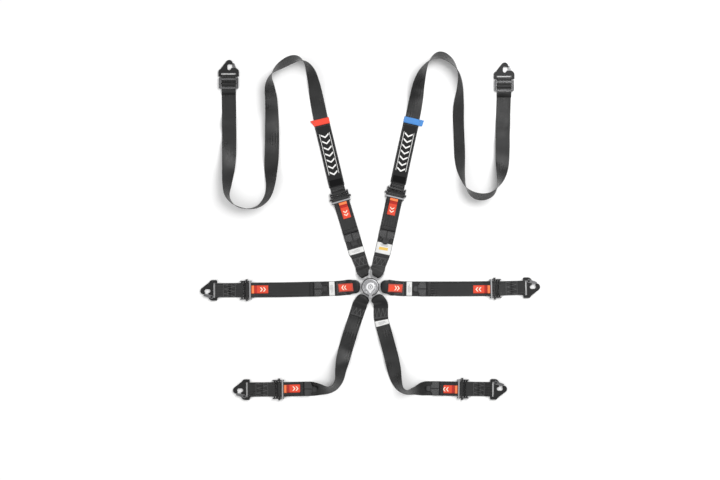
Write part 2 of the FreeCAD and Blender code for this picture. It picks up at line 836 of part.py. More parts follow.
def hook_end(spec):
    """Frames from the slider's inner end, through it, round the hook's bar and back through it."""
    x, y, heading, over = spec["hook"]
    outer = -size("slider_reach")
    inner = outer - size("slider_length")
    lower = size("floor_gap") + size("hook_thick") + size("layer_gap") + WEB / 2
    upper = lower + LAYER
    radius = size("bar_radius") + 2 * size("layer_gap") + WEB / 2
    points = [(inner - 4, lower), (outer, lower)]
    points += turn_points(0, size("hook_bar_height"), radius, -90, 90)
    points += [(outer, upper), (inner - 4, upper), (inner - 20, FLAT_Z + LAYER + 0.4)]
    return side_frames((x, y), heading, points, size("web_width"))


def slider(strap, spec):
    """The three-bar slide behind each shoulder hook."""
    half, length, bar = size("slider_half"), size("slider_length"), size("slider_bar")
    floor = size("floor_gap")
    top = floor + size("hook_thick") + 2 * LAYER + size("layer_gap")
    span = half - size("slider_corner")
    parts = []
    rail_sides = ("Dims.slider_length + Dims.slider_lug", "Dims.slider_rail", "Dims.slider_rail_height")
    bar_sides = ("Dims.slider_bar", "2 * (Dims.slider_half - Dims.slider_corner)", "Dims.hook_thick")
    for side, edge in (("a", half - size("slider_rail")), ("b", -half)):
        rail = box(f"{strap}_slider_rail_{side}", rail_sides, (-length / 2, edge, floor))
        parts.append(rounded_ends(rail, half, size("slider_corner")))
    for side, at, height in (("a", -length / 2, top), ("b", length / 2 - bar, top), ("c", -bar / 2, floor)):
        parts.append(box(f"{strap}_slider_bar_{side}", bar_sides, (at, -span, height)))
    frame = joined(f"{strap}_slide", parts)
    x, y, heading, over = spec["hook"]
    back = math.radians(heading)
    reach = size("slider_reach") + length / 2
    frame.Placement = placed(x - reach * math.cos(back), y - reach * math.sin(back), 0, heading)
    return keep(f"{strap}_slider", frame)


def past(end, before, share=0.1):
    """The end frame moved on, away from the one before it."""
    return end[0] + (end[0] - before[0]) * share, end[1], end[2]


def sleeve(strap, name, rows, spare=0.0):
    """A flat tube of cloth round the long strap."""
    frames = route(LONG_ROUTES[strap])[rows[0] : rows[1] + 1]
    ahead = frames[1][0] - frames[0][0]
    frames[0] = (frames[0][0] + ahead * (size("sleeve_gap") / ahead.Length), frames[0][1], frames[0][2])
    thick, bore = size("sleeve_thick"), size("sleeve_bore_thick")
    extra, bore_extra = (size("sleeve_width") - W) / 2 + spare, (size("sleeve_bore_width") - W) / 2
    core = [past(frames[0], frames[1])] + frames[1:-1] + [past(frames[-1], frames[-2])]
    shape = ribbon(frames, thick, extra).cut(ribbon(core, bore, bore_extra))
    return cloth(f"{strap}_{name}", shape)


def hook_outline(sketch):
    """The plate's edge, running in through the throat and round the eye."""
    half, edge, corner = size("hook_half"), -size("hook_bar_half"), size("hook_corner")
    radius, throat = size("eye_radius"), size("throat_wide")
    eye_x, eye_y, slot = size("eye_at"), size("eye_off"), size("eye_slot")
    mouth = eye_x + 5
    rise = math.sqrt(radius**2 - (mouth - eye_x) ** 2)
    bevel = 0.3 * corner
    shoulder = half - 3 * corner
    nose = size("hook_nose")
    outline(
        sketch,
        [
            ((edge, half - corner), (edge + bevel, half - bevel), (edge + corner, half)),
            ((nose / 4, half), (nose / 4 + 8, half - 3), (mouth - throat, shoulder)),
            (mouth - throat, eye_y + radius),
            ((eye_x - slot, eye_y + radius), (eye_x - slot - radius, eye_y), (eye_x - slot, eye_y - radius)),
            ((eye_x, eye_y - radius), (eye_x + radius, eye_y), (mouth, eye_y + rise)),
            (mouth, shoulder - 7),
            ((mouth + 5, shoulder - 10), (nose, 3), (nose - 6, -9)),
            ((nose / 2 - 4, 7 - half), (nose / 2 - 8, 1.5 - half), (nose / 4, -half)),
            ((edge + corner, -half), (edge + bevel, bevel - half), (edge, corner - half)),
        ],
    )


PIVOT = (17, 23)


def snap_hook(strap, spec):
    """Snap hook plate with its webbing slot, its eye, the open throat and the gate's rivet."""
    body = new_body(f"{strap}_hook_body")
    low = -size("hook_thick") / 2
    plate = new_sketch(body, f"{strap}_hook_plate", low)
    hook_outline(plate)
    pad(body, plate, "Dims.hook_thick")
    doc.recompute()
    slot = new_sketch(body, f"{strap}_hook_slot", low)
    side, inner, wide = size("hook_slot_half"), size("hook_bar_half"), size("hook_slot_wide")
    outline(slot, [(inner, -side), (inner + wide, -side), (inner + wide, side), (inner, side)])
    pocket(body, slot, "Dims.hook_thick")
    stem = new_sketch(body, f"{strap}_hook_stem", low)
    circle(stem, *PIVOT, "Dims.gate_pin_radius")
    pad(body, stem, "Dims.hook_thick + Dims.gate_thick + 0.6")
    head = new_sketch(body, f"{strap}_hook_head", -low + size("gate_thick") + 0.4)
    circle(head, *PIVOT, "Dims.gate_pin_head")
    pad(body, head, "0.8")
    x, y, heading, over = spec["hook"]
    body.Placement = placed(x, y, size("hook_bar_height"), heading, over)
    return keep(f"{strap}_hook", body)


def hook_gate(strap, spec):
    """The keeper that swings inwards across the throat, with the tab that fills the throat's mouth."""
    body = new_body(f"{strap}_gate_body")
    base = size("hook_thick") / 2 + 0.2
    arm = new_sketch(body, f"{strap}_gate_arm", base)
    x, y = PIVOT
    outline(
        arm,
        [
            ((x, y + 6), (x - 6, y), (x, y - 6)),
            (x + 20, y - 11),
            ((x + 26, y - 9), (x + 28, y - 6), (x + 26, y - 3)),
        ],
    )
    pad(body, arm, "Dims.gate_thick")
    tab = new_sketch(body, f"{strap}_gate_tab", -size("hook_thick") / 2)
    outline(tab, [(x + 17, y - 6.5), (x + 22.5, y - 6.5), (x + 22.5, y - 4.5), (x + 17, y - 4.5)])
    pad(body, tab, "Dims.hook_thick + 0.2 + Dims.gate_thick")
    doc.recompute()
    hole = new_sketch(body, f"{strap}_gate_hole", base)
    circle(hole, x, y, "Dims.gate_pin_radius + 0.08")
    pocket(body, hole, "Dims.gate_thick")
    px, py, heading, over = spec["hook"]
    body.Placement = placed(px, py, size("hook_bar_height"), heading, over)
    return keep(f"{strap}_hook_gate", body)


def build():
    buckle_base()
    buckle_housing()
    buckle_spindle()
    base_screws()
    latch_plate()
    latch_spring()
    release_cam()
    release_knob()
    knob_cap()
    for strap, spec in STRAPS.items():
        tongue(strap, spec["tongue"])
        strap_webbing(strap, spec)
        adjuster_frame(strap, spec)
        lock_bar(strap, spec)
        snap_hook(strap, spec)
        hook_gate(strap, spec)
        if strap in LONG_ROUTES:
            long_anchor_strap(strap, spec)
            slider(strap, spec)
            sleeve(strap, "sleeve", SLEEVE_ROWS)
            sleeve(strap, "colour_loop", COLOUR_LOOP_ROWS, 0.6)
        else:
            short_anchor_strap(strap, spec)
    doc.recompute()


def write():
    for thing in doc.Objects:
        bad = [s for s in thing.State if s in ("Invalid", "Error")]
        if bad:
            raise RuntimeError(f"{thing.Name} is {bad}")
    for thing in nodes:
        shape = thing.Shape
        if shape.isNull() or not shape.isValid():
            raise RuntimeError(f"{thing.Label} has a bad shape")
        shape.exportStep(f"parts/{thing.Label}.step")
        print(thing.Label, len(shape.Solids), round(shape.Volume), len(shape.Faces))


build()
write()
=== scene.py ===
import math

import bmesh
import bpy
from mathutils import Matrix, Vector


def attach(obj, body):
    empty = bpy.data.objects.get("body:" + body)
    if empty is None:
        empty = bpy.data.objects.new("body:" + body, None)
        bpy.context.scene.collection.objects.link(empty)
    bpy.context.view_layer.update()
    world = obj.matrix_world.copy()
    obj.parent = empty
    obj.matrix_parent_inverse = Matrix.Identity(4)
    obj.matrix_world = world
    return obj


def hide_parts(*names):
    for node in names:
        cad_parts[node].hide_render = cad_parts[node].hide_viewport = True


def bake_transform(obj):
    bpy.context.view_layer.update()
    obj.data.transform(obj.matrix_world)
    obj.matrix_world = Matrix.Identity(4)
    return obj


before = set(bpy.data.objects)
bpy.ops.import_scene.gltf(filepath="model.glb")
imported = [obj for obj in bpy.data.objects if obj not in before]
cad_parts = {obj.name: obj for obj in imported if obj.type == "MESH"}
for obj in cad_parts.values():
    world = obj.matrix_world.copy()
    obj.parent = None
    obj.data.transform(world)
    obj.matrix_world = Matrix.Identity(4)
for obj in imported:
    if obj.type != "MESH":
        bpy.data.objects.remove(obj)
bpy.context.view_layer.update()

# Six-point racing harness laid flat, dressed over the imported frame. Lengths are in millimetres here and
# become metres when a mesh is made. The straps follow the same stations as the CAD webbing, which is
# W wide and WEB thick.

MM = 0.001
UP = Vector((0, 0, 1))
W = 50
WEB = 1.3
FLOOR_GAP = 0.3
LAYER_GAP = 0.3
LAYER = WEB + LAYER_GAP
FLAT_Z = FLOOR_GAP + WEB / 2
ROW_STEPS = 8
CAD_STEPS = 3
TURN_STEPS = 12
BAR_HEIGHT = 4.95
BAR_RADIUS = 3
BAR_TURN = BAR_RADIUS + LAYER_GAP + WEB / 2

# ---- layout
# Angles are in degrees anticlockwise from +X. A route's stations are x, y and roll.

STRAPS = {
    "shoulder_left": {
        "tongue": 117, "width": W + 6,
        "route": [(-33, 70, 0), (-43, 104, 0), (-76, 216, 0), (-98, 288, 0)],
        "adjuster": (-105, 311, 106.2), "tail": 178, "hook": (-495, 737),
    },
    "shoulder_right": {
        "tongue": 63, "width": W + 6,
        "route": [(33, 70, 0), (40, 104, 0), (65, 216, 0), (83, 301, 0)],
        "adjuster": (88.5, 324.5, 76.7), "tail": 180, "hook": (468, 728),
    },
    "lap_left": {
        "tongue": 180, "width": W + 2,
        "route": [(-78, -2, 0), (-120, -6, 0), (-300, -10.5, 0), (-408, -11.5, 0)],
        "adjuster": (-432, -11.7, 180.5), "tail": 284, "hook": (-538, -12.5),
    },
    "lap_right": {
        "tongue": 0, "width": W + 2,
        "route": [(78, -4, 0), (120, -7, 0), (300, -7.5, 0), (411, -6.5, 0)],
        "adjuster": (435, -6.2, 1.5), "tail": 287, "hook": (537.5, -3.5),
    },
    "crotch_left": {
        "tongue": 240, "width": W,
        "route": [
            (-39, -70, 0), (-50, -103, 0), (-73, -173, 0), (-93, -243, 12),
            (-102, -284, 32), (-109, -325, 52), (-125, -350, 60), (-148, -360, 55),
            (-180, -358, 30), (-212, -357, 0), (-294, -358.5, 0),
        ],
        "adjuster": (-318.5, -358.8, 180.5), "tail": 134, "hook": (-424, -359.7),
    },
    "crotch_right": {
        "tongue": 300, "width": W,
        "route": [
            (37, -70, 0), (38, -112, 0), (52, -165, 0), (73, -243, 0),
            (82, -284, -18), (91, -326, -42), (104, -354, -60), (126, -367, -66),
            (156, -362, -50), (188, -356, -10), (212, -355.5, 0), (297, -356.8, 0),
        ],
        "adjuster": (321, -357, 359.2), "tail": 128, "hook": (422, -358.4),
    },
}

# The long outer strap of each shoulder: sleeve, arch, middle leg, bottom turn and outer leg.
LONG_ROUTES = {
    "shoulder_left": [
        (-112.8, 338, 0), (-116.5, 350.5, 0), (-142, 458, 0), (-168, 566, 0),
        (-176, 600, 0), (-188, 660, 16), (-197, 710, 34), (-209, 751, 54),
        (-229, 783, 90), (-262, 795, 128), (-308, 775, 122), (-344, 740, 92),
        (-350, 700, 57), (-345, 647, 34), (-343, 560, 16), (-344, 470, 0),
        (-347, 410, -18), (-348, 355, -42), (-361, 311, -64), (-392, 280, -84),
        (-433, 273, -90), (-475, 287, -88), (-498, 318, -76), (-499, 362, -54),
        (-494, 420, -27), (-493, 500, -8), (-494, 600, 0), (-495, 672, 0),
    ],
    "shoulder_right": [
        (94.8, 351, 0), (97.3, 362, 0), (119, 464, 0), (142.5, 569, 0),
        (150.5, 603, 0), (161, 660, -16), (170, 710, -38), (185, 754, -60),
        (209, 790, -90), (243, 808, -126), (280, 789, -124), (306, 748, -94),
        (312, 700, -66), (308, 640, -48), (307, 584, -45), (310, 500, -46),
        (314, 420, -56), (322, 378, -70), (335, 345, -92), (360, 321, -120),
        (391, 314, -126), (421, 323, -112), (441, 346, -84), (455, 383, -46),
        (461, 440, -14), (463, 540, 0), (467, 663, 0),
    ],
}
SLEEVED = range(1, 5)
SLEEVE_LIFT = 1.4


# ---- strips of webbing


def step(value, start=0.0, length=1.0):
    """Smooth step from 0 at start to 1 a length further on."""
    t = min(max((value - start) / length, 0.0), 1.0)
    return t * t * (3 - 2 * t)


def heading_of(degrees):
    """The level direction at an angle from +X."""
    turn = math.radians(degrees)
    return Vector((math.cos(turn), math.sin(turn), 0))


def right_of(ahead):
    return Vector((ahead.y, -ahead.x, 0))


def beside(items, i):
    """The items before and after one of a list, or the end itself at an end."""
    return items[max(i - 1, 0)], items[min(i + 1, len(items) - 1)]


def distances(points):
    """The distance gone at each of a list of points."""
    gone = [0.0]
    for a, b in zip(points, points[1:]):
        gone.append(gone[-1] + math.dist(a, b))
    return gone


def between(stations):
    """Rows that run smoothly through a list of stations, with ROW_STEPS to each gap."""
    gone = distances([station[:2] for station in stations])
    slopes = []
    for i in range(len(stations)):
        (before, after), (near, far) = beside(stations, i), beside(gone, i)
        slopes.append([(b - a) / (far - near) for a, b in zip(before, after)])
    rows = []
    for i in range(len(stations) - 1):
        span = gone[i + 1] - gone[i]
        for k in range(ROW_STEPS):
            t = k / ROW_STEPS
            h = (2 * t**3 - 3 * t**2 + 1, t**3 - 2 * t**2 + t, 3 * t**2 - 2 * t**3, t**3 - t**2)
            ends = zip(stations[i], slopes[i], stations[i + 1], slopes[i + 1])
            rows.append([h[0] * p + h[1] * m * span + h[2] * q + h[3] * n * span for p, m, q, n in ends])
    return rows + [list(stations[-1])]


CALM_START = 40
CALM_END = 60
RISE = 0.5


def route(stations, ripple=0.0, calm=(0.0, 0.0)):
    """Frames (middle, across, width) of webbing on the floor. Roll lifts the edge on its right.

    Ripple, in degrees, sets how unevenly the webbing lies, except in the calm lengths at its two ends.
    """
    rows = between(stations)
    gone = distances([row[:2] for row in rows])
    frames = []
    for i, (x, y, roll, width, lift) in enumerate(rows):
        before, after = beside(rows, i)
        right = right_of(Vector((after[0] - before[0], after[1] - before[1], 0)).normalized())
        along = gone[i]
        left = gone[-1] - calm[1] - along
        play = ripple * step(along, calm[0], CALM_START) * step(left, 0, CALM_END)
        tilt = math.radians(roll + play * (0.6 * math.sin(along / 27) + 0.5 * math.sin(along / 43 + 1.3)))
        swell = 2 + math.sin(along / 15.5 + 0.7) + 0.7 * math.sin(along / 23 + x / 90)
        rise = RISE * play * math.cos(math.radians(roll)) ** 2 * swell
        across = right * math.cos(tilt) + UP * math.sin(tilt)
        stand = abs(math.cos(tilt)) * WEB / 2 + abs(math.sin(tilt)) * width / 2
        frames.append((Vector((x, y, FLOOR_GAP + stand + lift + rise)), across, width))
    return frames


def raised(frames, height):
    return [(middle + UP * height, across, width) for middle, across, width in frames]


def side_frames(origin, degrees, points, width):
    """Frames along points (distance, height) in the upright plane through origin."""
    along = heading_of(degrees)
    foot = Vector((*origin, 0))
    return [(foot + along * s + UP * z, right_of(along), width) for s, z in points]


def turn_points(distance, height, radius, start, end):
    """Points of a turn round a bar, as angles in the upright plane."""
    angles = [math.radians(start + (end - start) * k / TURN_STEPS) for k in range(TURN_STEPS + 1)]
    return [(distance + radius * math.cos(a), height + radius * math.sin(a)) for a in angles]


class Strip:
    """Frames of webbing with the distance gone at each, so that a thing can be placed on a face of it.

    Face is 1 for the face that looks up where the strip runs away from the buckle, and -1 for the other.
    """

    def __init__(self, frames, thick=WEB, face=1):
        self.frames = frames
        self.thick = thick
        self.face = face
        self.gone = [0.0]
        for a, b in zip(frames, frames[1:]):
            self.gone.append(self.gone[-1] + (b[0] - a[0]).length)
        self.length = self.gone[-1]
        self.normals = []
        for i, item in enumerate(frames):
            before, after = beside(frames, i)
            self.normals.append(item[1].cross(after[0] - before[0]).normalized())

    def point(self, s, u, h):
        """The point s along, u to the right and h over the face."""
        i = 0
        while i < len(self.gone) - 2 and self.gone[i + 1] < s:
            i += 1
        t = (s - self.gone[i]) / (self.gone[i + 1] - self.gone[i])
        middle = self.frames[i][0].lerp(self.frames[i + 1][0], t)
        inside = min(max(t, 0.0), 1.0)
        across = self.frames[i][1].lerp(self.frames[i + 1][1], inside).normalized()
        normal = self.normals[i].lerp(self.normals[i + 1], inside).normalized()
        return middle + across * u + normal * self.face * (self.thick / 2 + h)


# ---- meshes


def placed(name, data, place=(0, 0, 0)):
    """An object in the scene."""
    thing = bpy.data.objects.new(name, data)
    thing.location = place
    bpy.context.scene.collection.objects.link(thing)
    return thing


def piece(name, points, faces, uvs, look, flat_faces=()):
    """A mesh object from points in millimetres, with one texture place to each point."""
    mesh = bpy.data.meshes.new(name)
    mesh.from_pydata([p * MM for p in points], [], faces)
    layer = mesh.uv_layers.new(name="weave")
    for loop in mesh.loops:
        layer.data[loop.index].uv = uvs[loop.vertex_index]
    for polygon in mesh.polygons:
        polygon.use_smooth = polygon.index not in flat_faces
    mesh.materials.append(M[look])
    mesh.update()
    return placed(name, mesh)


def face_up(thing):
    """Makes every face look outwards."""
    work = bmesh.new()
    work.from_mesh(thing.data)
    bmesh.ops.recalc_face_normals(work, faces=work.faces)
    work.to_mesh(thing.data)
    work.free()
    return thing


def crisp(thing, degrees):
    """Keeps edges sharper than an angle crisp under smooth shading."""
    thing.data.set_sharp_from_angle(angle=math.radians(degrees))
    return thing


def grid_faces(rows, columns, start=0, flip=False):
    """Quads of a skin whose rows are closed rings of points."""
    faces = []
    for i in range(rows - 1):
        for j in range(columns):
            a = start + i * columns + j
            b = start + i * columns + (j + 1) % columns
            c, d = b + columns, a + columns
            faces.append((a, d, c, b) if flip else (a, b, c, d))
    return faces


EDGE_RING = (1.6, 2.4)
EDGE_ANGLES = (50, 15, -15, -50)


def section(width, thick, selvedge=0.1):
    """Ring of points (across, up) round webbing: flat faces a little below two rounded, thicker edges."""
    radius = thick / 2
    reach = width / 2 - radius
    low = radius - selvedge
    crest, foot = EDGE_RING
    half = [(-reach, radius), (crest - reach, radius), (foot - reach, low)]
    half += [(reach * share, low) for share in (-0.55, 0.0, 0.55)]
    half += [(reach - foot, low), (reach - crest, radius), (reach, radius)]
    half += [(reach + radius * math.cos(a), radius * math.sin(a)) for a in map(math.radians, EDGE_ANGLES)]
    return half + [(-u, -h) for u, h in half]


def skin(frames, rings):
    """Points and texture places of a skin with one ring round each frame."""
    strip = Strip(frames)
    points, uvs = [], []
    for (middle, across, _), normal, gone, ring in zip(frames, strip.normals, strip.gone, rings):
        points += [middle + across * u + normal * h for u, h in ring]
        uvs += [(u, gone) for u, h in ring]
    return points, uvs


def webbing(name, frames):
    """A woven strip with rounded selvedges along frames."""
    rings = [section(item[2], WEB) for item in frames]
    points, uvs = skin(frames, rings)
    count = len(rings[0])
    faces = grid_faces(len(frames), count)
    caps = [tuple(range(count))[::-1], tuple(range(len(points) - count, len(points)))]
    return piece(name, points, faces + caps, uvs, "webbing", {len(faces), len(faces) + 1})


def tube(name, frames, outer, inner, look):
    """A flat hollow tube, with an outer and an inner ring round each frame."""
    points, uvs = (a + b for a, b in zip(skin(frames, outer), skin(frames, inner)))
    rows, count = len(frames), len(outer[0])
    second = rows * count
    faces = grid_faces(rows, count) + grid_faces(rows, count, second, True)
    for start, turn in ((0, -1), ((rows - 1) * count, 1)):
        for j in range(count):
            a, b = start + j, start + (j + 1) % count
            faces.append((a, b, second + b, second + a)[::turn])
    return piece(name, points, faces, uvs, look)


def slab(name, rows, look, thick):
    """A thin closed sheet: rows of (lower point, normal, texture place), with rounded ends and edges."""
    points, uvs = [], []
    last, end = len(rows) - 1, len(rows[0]) - 1
    for rim_share, share in ((0.15, 0.0), (0.7, 1.0)):
        for i, row in enumerate(rows):
            for j, (point, normal, uv) in enumerate(row):
                rim = i in (0, last) or j in (0, end)
                points.append(point + normal * thick * (rim_share if rim else share))
                uvs.append(uv)
    columns = end + 1
    total = len(rows) * columns
    faces = []
    for i in range(last):
        for j in range(end):
            a = i * columns + j
            faces.append((a, a + columns, a + columns + 1, a + 1))
            faces.append(tuple(total + k for k in (a, a + 1, a + columns + 1, a + columns)))
    edge = [(0, j) for j in range(end)] + [(i, end) for i in range(last)]
    edge += [(last, end - j) for j in range(end)] + [(last - i, 0) for i in range(last)]
    loop = [i * columns + j for i, j in edge]
    for a, b in zip(loop, loop[1:] + loop[:1]):
        faces.append((a, b, total + b, total + a))
    return face_up(piece(name, points, faces, uvs, look))


def level(height, s):
    """A height that is a number, or a function of the distance along."""
    return height(s) if callable(height) else height


PATCH_COLUMNS = 9


def patch(name, strip, s_range, u_range, look, thick, height=0.0, rows=17):
    """A sheet laid on a strip, between two distances along it and two places across it."""
    (s0, s1), (u0, u1) = s_range, u_range
    grid = []
    for i in range(rows):
        s = s0 + (s1 - s0) * i / (rows - 1)
        grid.append([])
        for j in range(PATCH_COLUMNS):
            u = u0 + (u1 - u0) * j / (PATCH_COLUMNS - 1)
            low = strip.point(s, u, level(height, s))
            grid[-1].append((low, strip.point(s, u, level(height, s) + 1) - low, (u, s)))
    return slab(name, grid, look, thick)


def decals(name, strip, shapes, look, height, thick):
    """Thin flat shapes with corners (s, u) standing on a strip, as one piece."""
    points, faces, uvs = [], [], []
    for corners in shapes:
        low = list(range(len(points), len(points) + len(corners)))
        high = [k + len(corners) for k in low]
        for over in (0.0, thick):
            points += [strip.point(s, u, level(height, s) + over) for s, u in corners]
            uvs += [(u, s) for s, u in corners]
        faces += zip(low, low[1:] + low[:1], high[1:] + high[:1], high)
        faces += [tuple(low[::-1]), tuple(high)]
    return face_up(piece(name, points, faces, uvs, look, range(len(faces))))


STITCH_PITCH = 4.4
STITCH_LENGTH = 3.3
STITCH_HALF = 0.6
STITCH_THICK = 0.3


def stitch_shapes(path):
    """Six-sided outlines of the stitches of a seam along path, a list of (s, u)."""
    shapes = []
    for start, end in zip(map(Vector, path), map(Vector, path[1:])):
        run = (end - start).length
        ahead = (end - start) / run
        side = Vector((-ahead.y, ahead.x)) * STITCH_HALF
        count = max(1, round(run / STITCH_PITCH))
        reach = ahead * min(STITCH_LENGTH, 0.75 * run / count) / 2
        outline = (-1.2 * reach, side - reach, side + reach, 1.2 * reach, reach - side, -reach - side)
        for k in range(count):
            middle = start + ahead * run * (k + 0.5) / count
            shapes.append([tuple(middle + corner) for corner in outline])
    return shapes


def seam(name, strip, paths, look="grey_thread", height=0.0):
    """Rows of separate stitches standing a little proud of the cloth."""
    shapes = [shape for path in paths for shape in stitch_shapes(path)]
    return decals(name, strip, shapes, look, height, STITCH_THICK)


def box(s0, s1, u0, u1):
    """The corners of a rectangle."""
    return [(s0, u0), (s1, u0), (s1, u1), (s0, u1)]


def cross_rows(half, *places):
    """Straight rows of stitching across a strap, one at each distance along."""
    return [[(s, -half), (s, half)] for s in places]


def zigzag(s0, s1, half, turns):
    """A zigzag of stitching across a strap, within a length."""
    return [(s1 if k % 2 else s0, -half + 2 * half * k / turns) for k in range(turns + 1)]


def arrowhead(s, half, deep, thick, u=0.0):
    """The two arms of a plain arrowhead that points towards the end of the strip."""
    tip, notch = (s + deep, u), (s + thick + deep, u)
    left = [(s, u - half), tip, notch, (s + thick, u - half)]
    return [left, [tip, (s, u + half), (s + thick, u + half), notch]]


# ---- materials


class Value:
    """The output of a shader's node, which takes part in sums and products."""

    def __init__(self, shader, node, socket=0):
        self.shader = shader
        self.pin = node.outputs[socket]

    def maths(self, operation, *others):
        return Value(self.shader, self.shader.add("Math", self, *others, operation=operation))

    def __add__(self, other):
        return self.maths("ADD", other)

    def __mul__(self, other):
        return self.maths("MULTIPLY", other)

    def sine(self, rate):
        return (self * rate).maths("SINE")

    def span(self, low, high, start=0.0, end=1.0):
        """Start to end stretched to low to high, and held there outside."""
        node = self.shader.add("MapRange", self, From_Min=start, From_Max=end, To_Min=low, To_Max=high)
        return Value(self.shader, node)

    def shades(self, colour, *stops):
        """A colour ramp of lighter and darker shades, with stops (place, share of the colour)."""
        node = self.shader.add("ValToRGB", self)
        elements = node.color_ramp.elements
        while len(elements) < len(stops):
            elements.new(0.5)
        for element, (place, share) in zip(elements, stops):
            element.position = place
            element.color = (*scaled(colour, share), 1)
        return Value(self.shader, node)

    def relief(self, strength, depth, below=None):
        """Bump from a height, over another bump if there is one. Depth is in metres."""
        node = self.shader.add("Bump", Strength=strength, Distance=depth, Height=self)
        if below:
            self.shader.feed(node.inputs["Normal"], below)
        return Value(self.shader, node)


class Shader:
    """A material with one Principled shader, and short ways to add nodes to it."""

    def __init__(self, name, colour, roughness, **more):
        self.material = bpy.data.materials.new(name)
        self.material.use_nodes = True
        self.nodes = self.material.node_tree.nodes
        self.main = self.nodes["Principled BSDF"]
        self.paint(Base_Color=(*colour, 1), Roughness=roughness, **more)

    def feed(self, pin, value):
        """Sets an input, or wires it to a node's output."""
        if isinstance(value, Value):
            self.material.node_tree.links.new(value.pin, pin)
        else:
            pin.default_value = value

    def paint(self, **values):
        """Feeds the Principled shader's inputs."""
        for name, value in values.items():
            self.feed(self.main.inputs[name.replace("_", " ")], value)
        return self.material

    def add(self, kind, *values, **named):
        """A new node: values feed its first inputs, capitalised names feed inputs, others are settings."""
        node = self.nodes.new("ShaderNode" + kind)
        for name, value in named.items():
            if name.islower():
                setattr(node, name, value)
            else:
                self.feed(node.inputs[name.replace("_", " ")], value)
        for pin, value in zip(node.inputs, values):
            self.feed(pin, value)
        return node

    def place(self):
        return Value(self, self.add("TexCoord"), "Object")

    def weave(self):
        """The place across and along the cloth, in millimetres."""
        place = Value(self, self.add("UVMap", uv_map="weave"))
        split = self.add("SeparateXYZ", place)
        return Value(self, split, "X"), Value(self, split, "Y")

    def noise(self, scale, detail=3.0, rough=0.55):
        """Noise over the object's own place, scale in features to a metre."""
        node = self.add("TexNoise", Vector=self.place(), Scale=scale, Detail=detail, Roughness=rough)
        return Value(self, node, "Fac")

    def mixed(self, factor, a, b):
        """Value a, which turns to the colour b with the factor."""
        node = self.add("Mix", factor, data_type="RGBA")
        pins = [pin for pin in node.inputs if pin.type == "RGBA"]
        self.feed(pins[0], a)
        self.feed(pins[1], (*b, 1))
        return Value(self, node, [pin.type for pin in node.outputs].index("RGBA"))

    def edges(self, radius):
        """1 along sharp edges and 0 on flat faces."""
        rounded = Value(self, self.add("Bevel", samples=4, Radius=radius))
        sharp = Value(self, self.add("NewGeometry"), "Normal")
        turn = self.add("VectorMath", rounded, sharp, operation="DOT_PRODUCT")
        worn = Value(self, turn, "Value").span(0.0, 1.0, 0.985, 0.86)
        return (worn * self.noise(700).span(0.5, 1.3)).maths("MINIMUM", 1.0)


def scaled(colour, share):
    return tuple(min(c * share, 1.0) for c in colour)


def woven(
    name, colour, rib=1.9, panel=4.5, thread=0.85, contrast=0.3, roughness=0.5, sheen=0.25, strength=0.5
):
    """Webbing or ribbon: herringbone panels of ribs, threads across them, and broad lighter and darker
    patches that are partly uneven dye and partly painted light and shade.
    """
    shader = Shader(name, colour, roughness, Sheen_Weight=sheen, Sheen_Roughness=0.4, Specular_IOR_Level=0.45)
    u, v = shader.weave()
    ribs = (v + u.maths("PINGPONG", panel)).sine(2 * math.pi / rib)
    height = ribs * 0.35 + u.sine(2 * math.pi / thread) * 0.15 + 0.5
    # Broad patches about 90 mm across: partly uneven dye, partly painted light and shade standing in for
    # twisted, tilted webbing under the lamps.
    dye_and_painted_light = shader.noise(11, 2.0).span(0.0, 1.0, 0.36, 0.64)
    shades = ((0.15, 1 - contrast), (0.5, 1), (0.9, 1 + 1.6 * contrast))
    return shader.paint(
        Base_Color=(height * 0.45 + dye_and_painted_light * 0.55).shades(colour, *shades),
        Roughness=dye_and_painted_light.span(roughness - 0.15, roughness + 0.19),
        Normal=height.relief(strength, 0.0003, shader.noise(900, 2.0).relief(0.12, 0.0002)),
    )


def knitted(name, colour, roughness=0.85):
    """Matt brushed cloth of the sleeve and its closing band, with a fine grid of loops."""
    shader = Shader(name, colour, roughness, Sheen_Weight=0.08, Sheen_Roughness=0.5, Specular_IOR_Level=0.2)
    u, v = shader.weave()
    height = (u.sine(4.2) * v.sine(3.4)).span(0.35, 0.65)
    nap = shader.noise(420, 4.0, 0.7)
    return shader.paint(
        Base_Color=(height * 0.4 + nap * 0.6).shades(colour, (0.25, 0.6), (0.5, 1), (0.8, 1.5)),
        Normal=height.relief(0.4, 0.0003, nap.relief(0.35, 0.0004)),
    )


def thread_cloth(name, colour):
    """Twisted sewing thread."""
    shader = Shader(name, colour, 0.42, Sheen_Weight=0.3)
    u, v = shader.weave()
    twist = (u + v).sine(9.0)
    tone = twist.span(0.0, 1.0).shades(colour, (0.0, 0.65), (1.0, 1.35))
    return shader.paint(Base_Color=tone, Normal=twist.relief(0.4, 0.0001))


def printed_film(name, colour):
    """A woven label or print: pale satin with a fine thread and a little soiling."""
    shader = Shader(name, colour, 0.5)
    u, v = shader.weave()
    tone = shader.noise(60, 5.0).shades(colour, (0.25, 0.88), (0.6, 1))
    return shader.paint(Base_Color=tone, Normal=(u.sine(7.0) * v.sine(7.0)).relief(0.25, 0.0001))


def metal(name, colour, roughness, brushed=1440, edge=(0.75, 0.75, 0.76)):
    """Bare metal with fine scratches, dull patches and brighter rubbed edges."""
    shader = Shader(name, colour, roughness, Metallic=1.0)
    patches = shader.noise(60, 4.0)
    scratches = shader.noise(brushed, 5.0, 0.8)
    tone = patches.shades(colour, (0.25, 0.72), (0.7, 1.08))
    return shader.paint(
        Base_Color=shader.mixed(shader.edges(0.0006), tone, edge),
        Roughness=patches.span(roughness - 0.08, roughness + 0.06) + scratches.span(-0.05, 0.09),
        Normal=scratches.relief(0.12, 0.00006),
    )


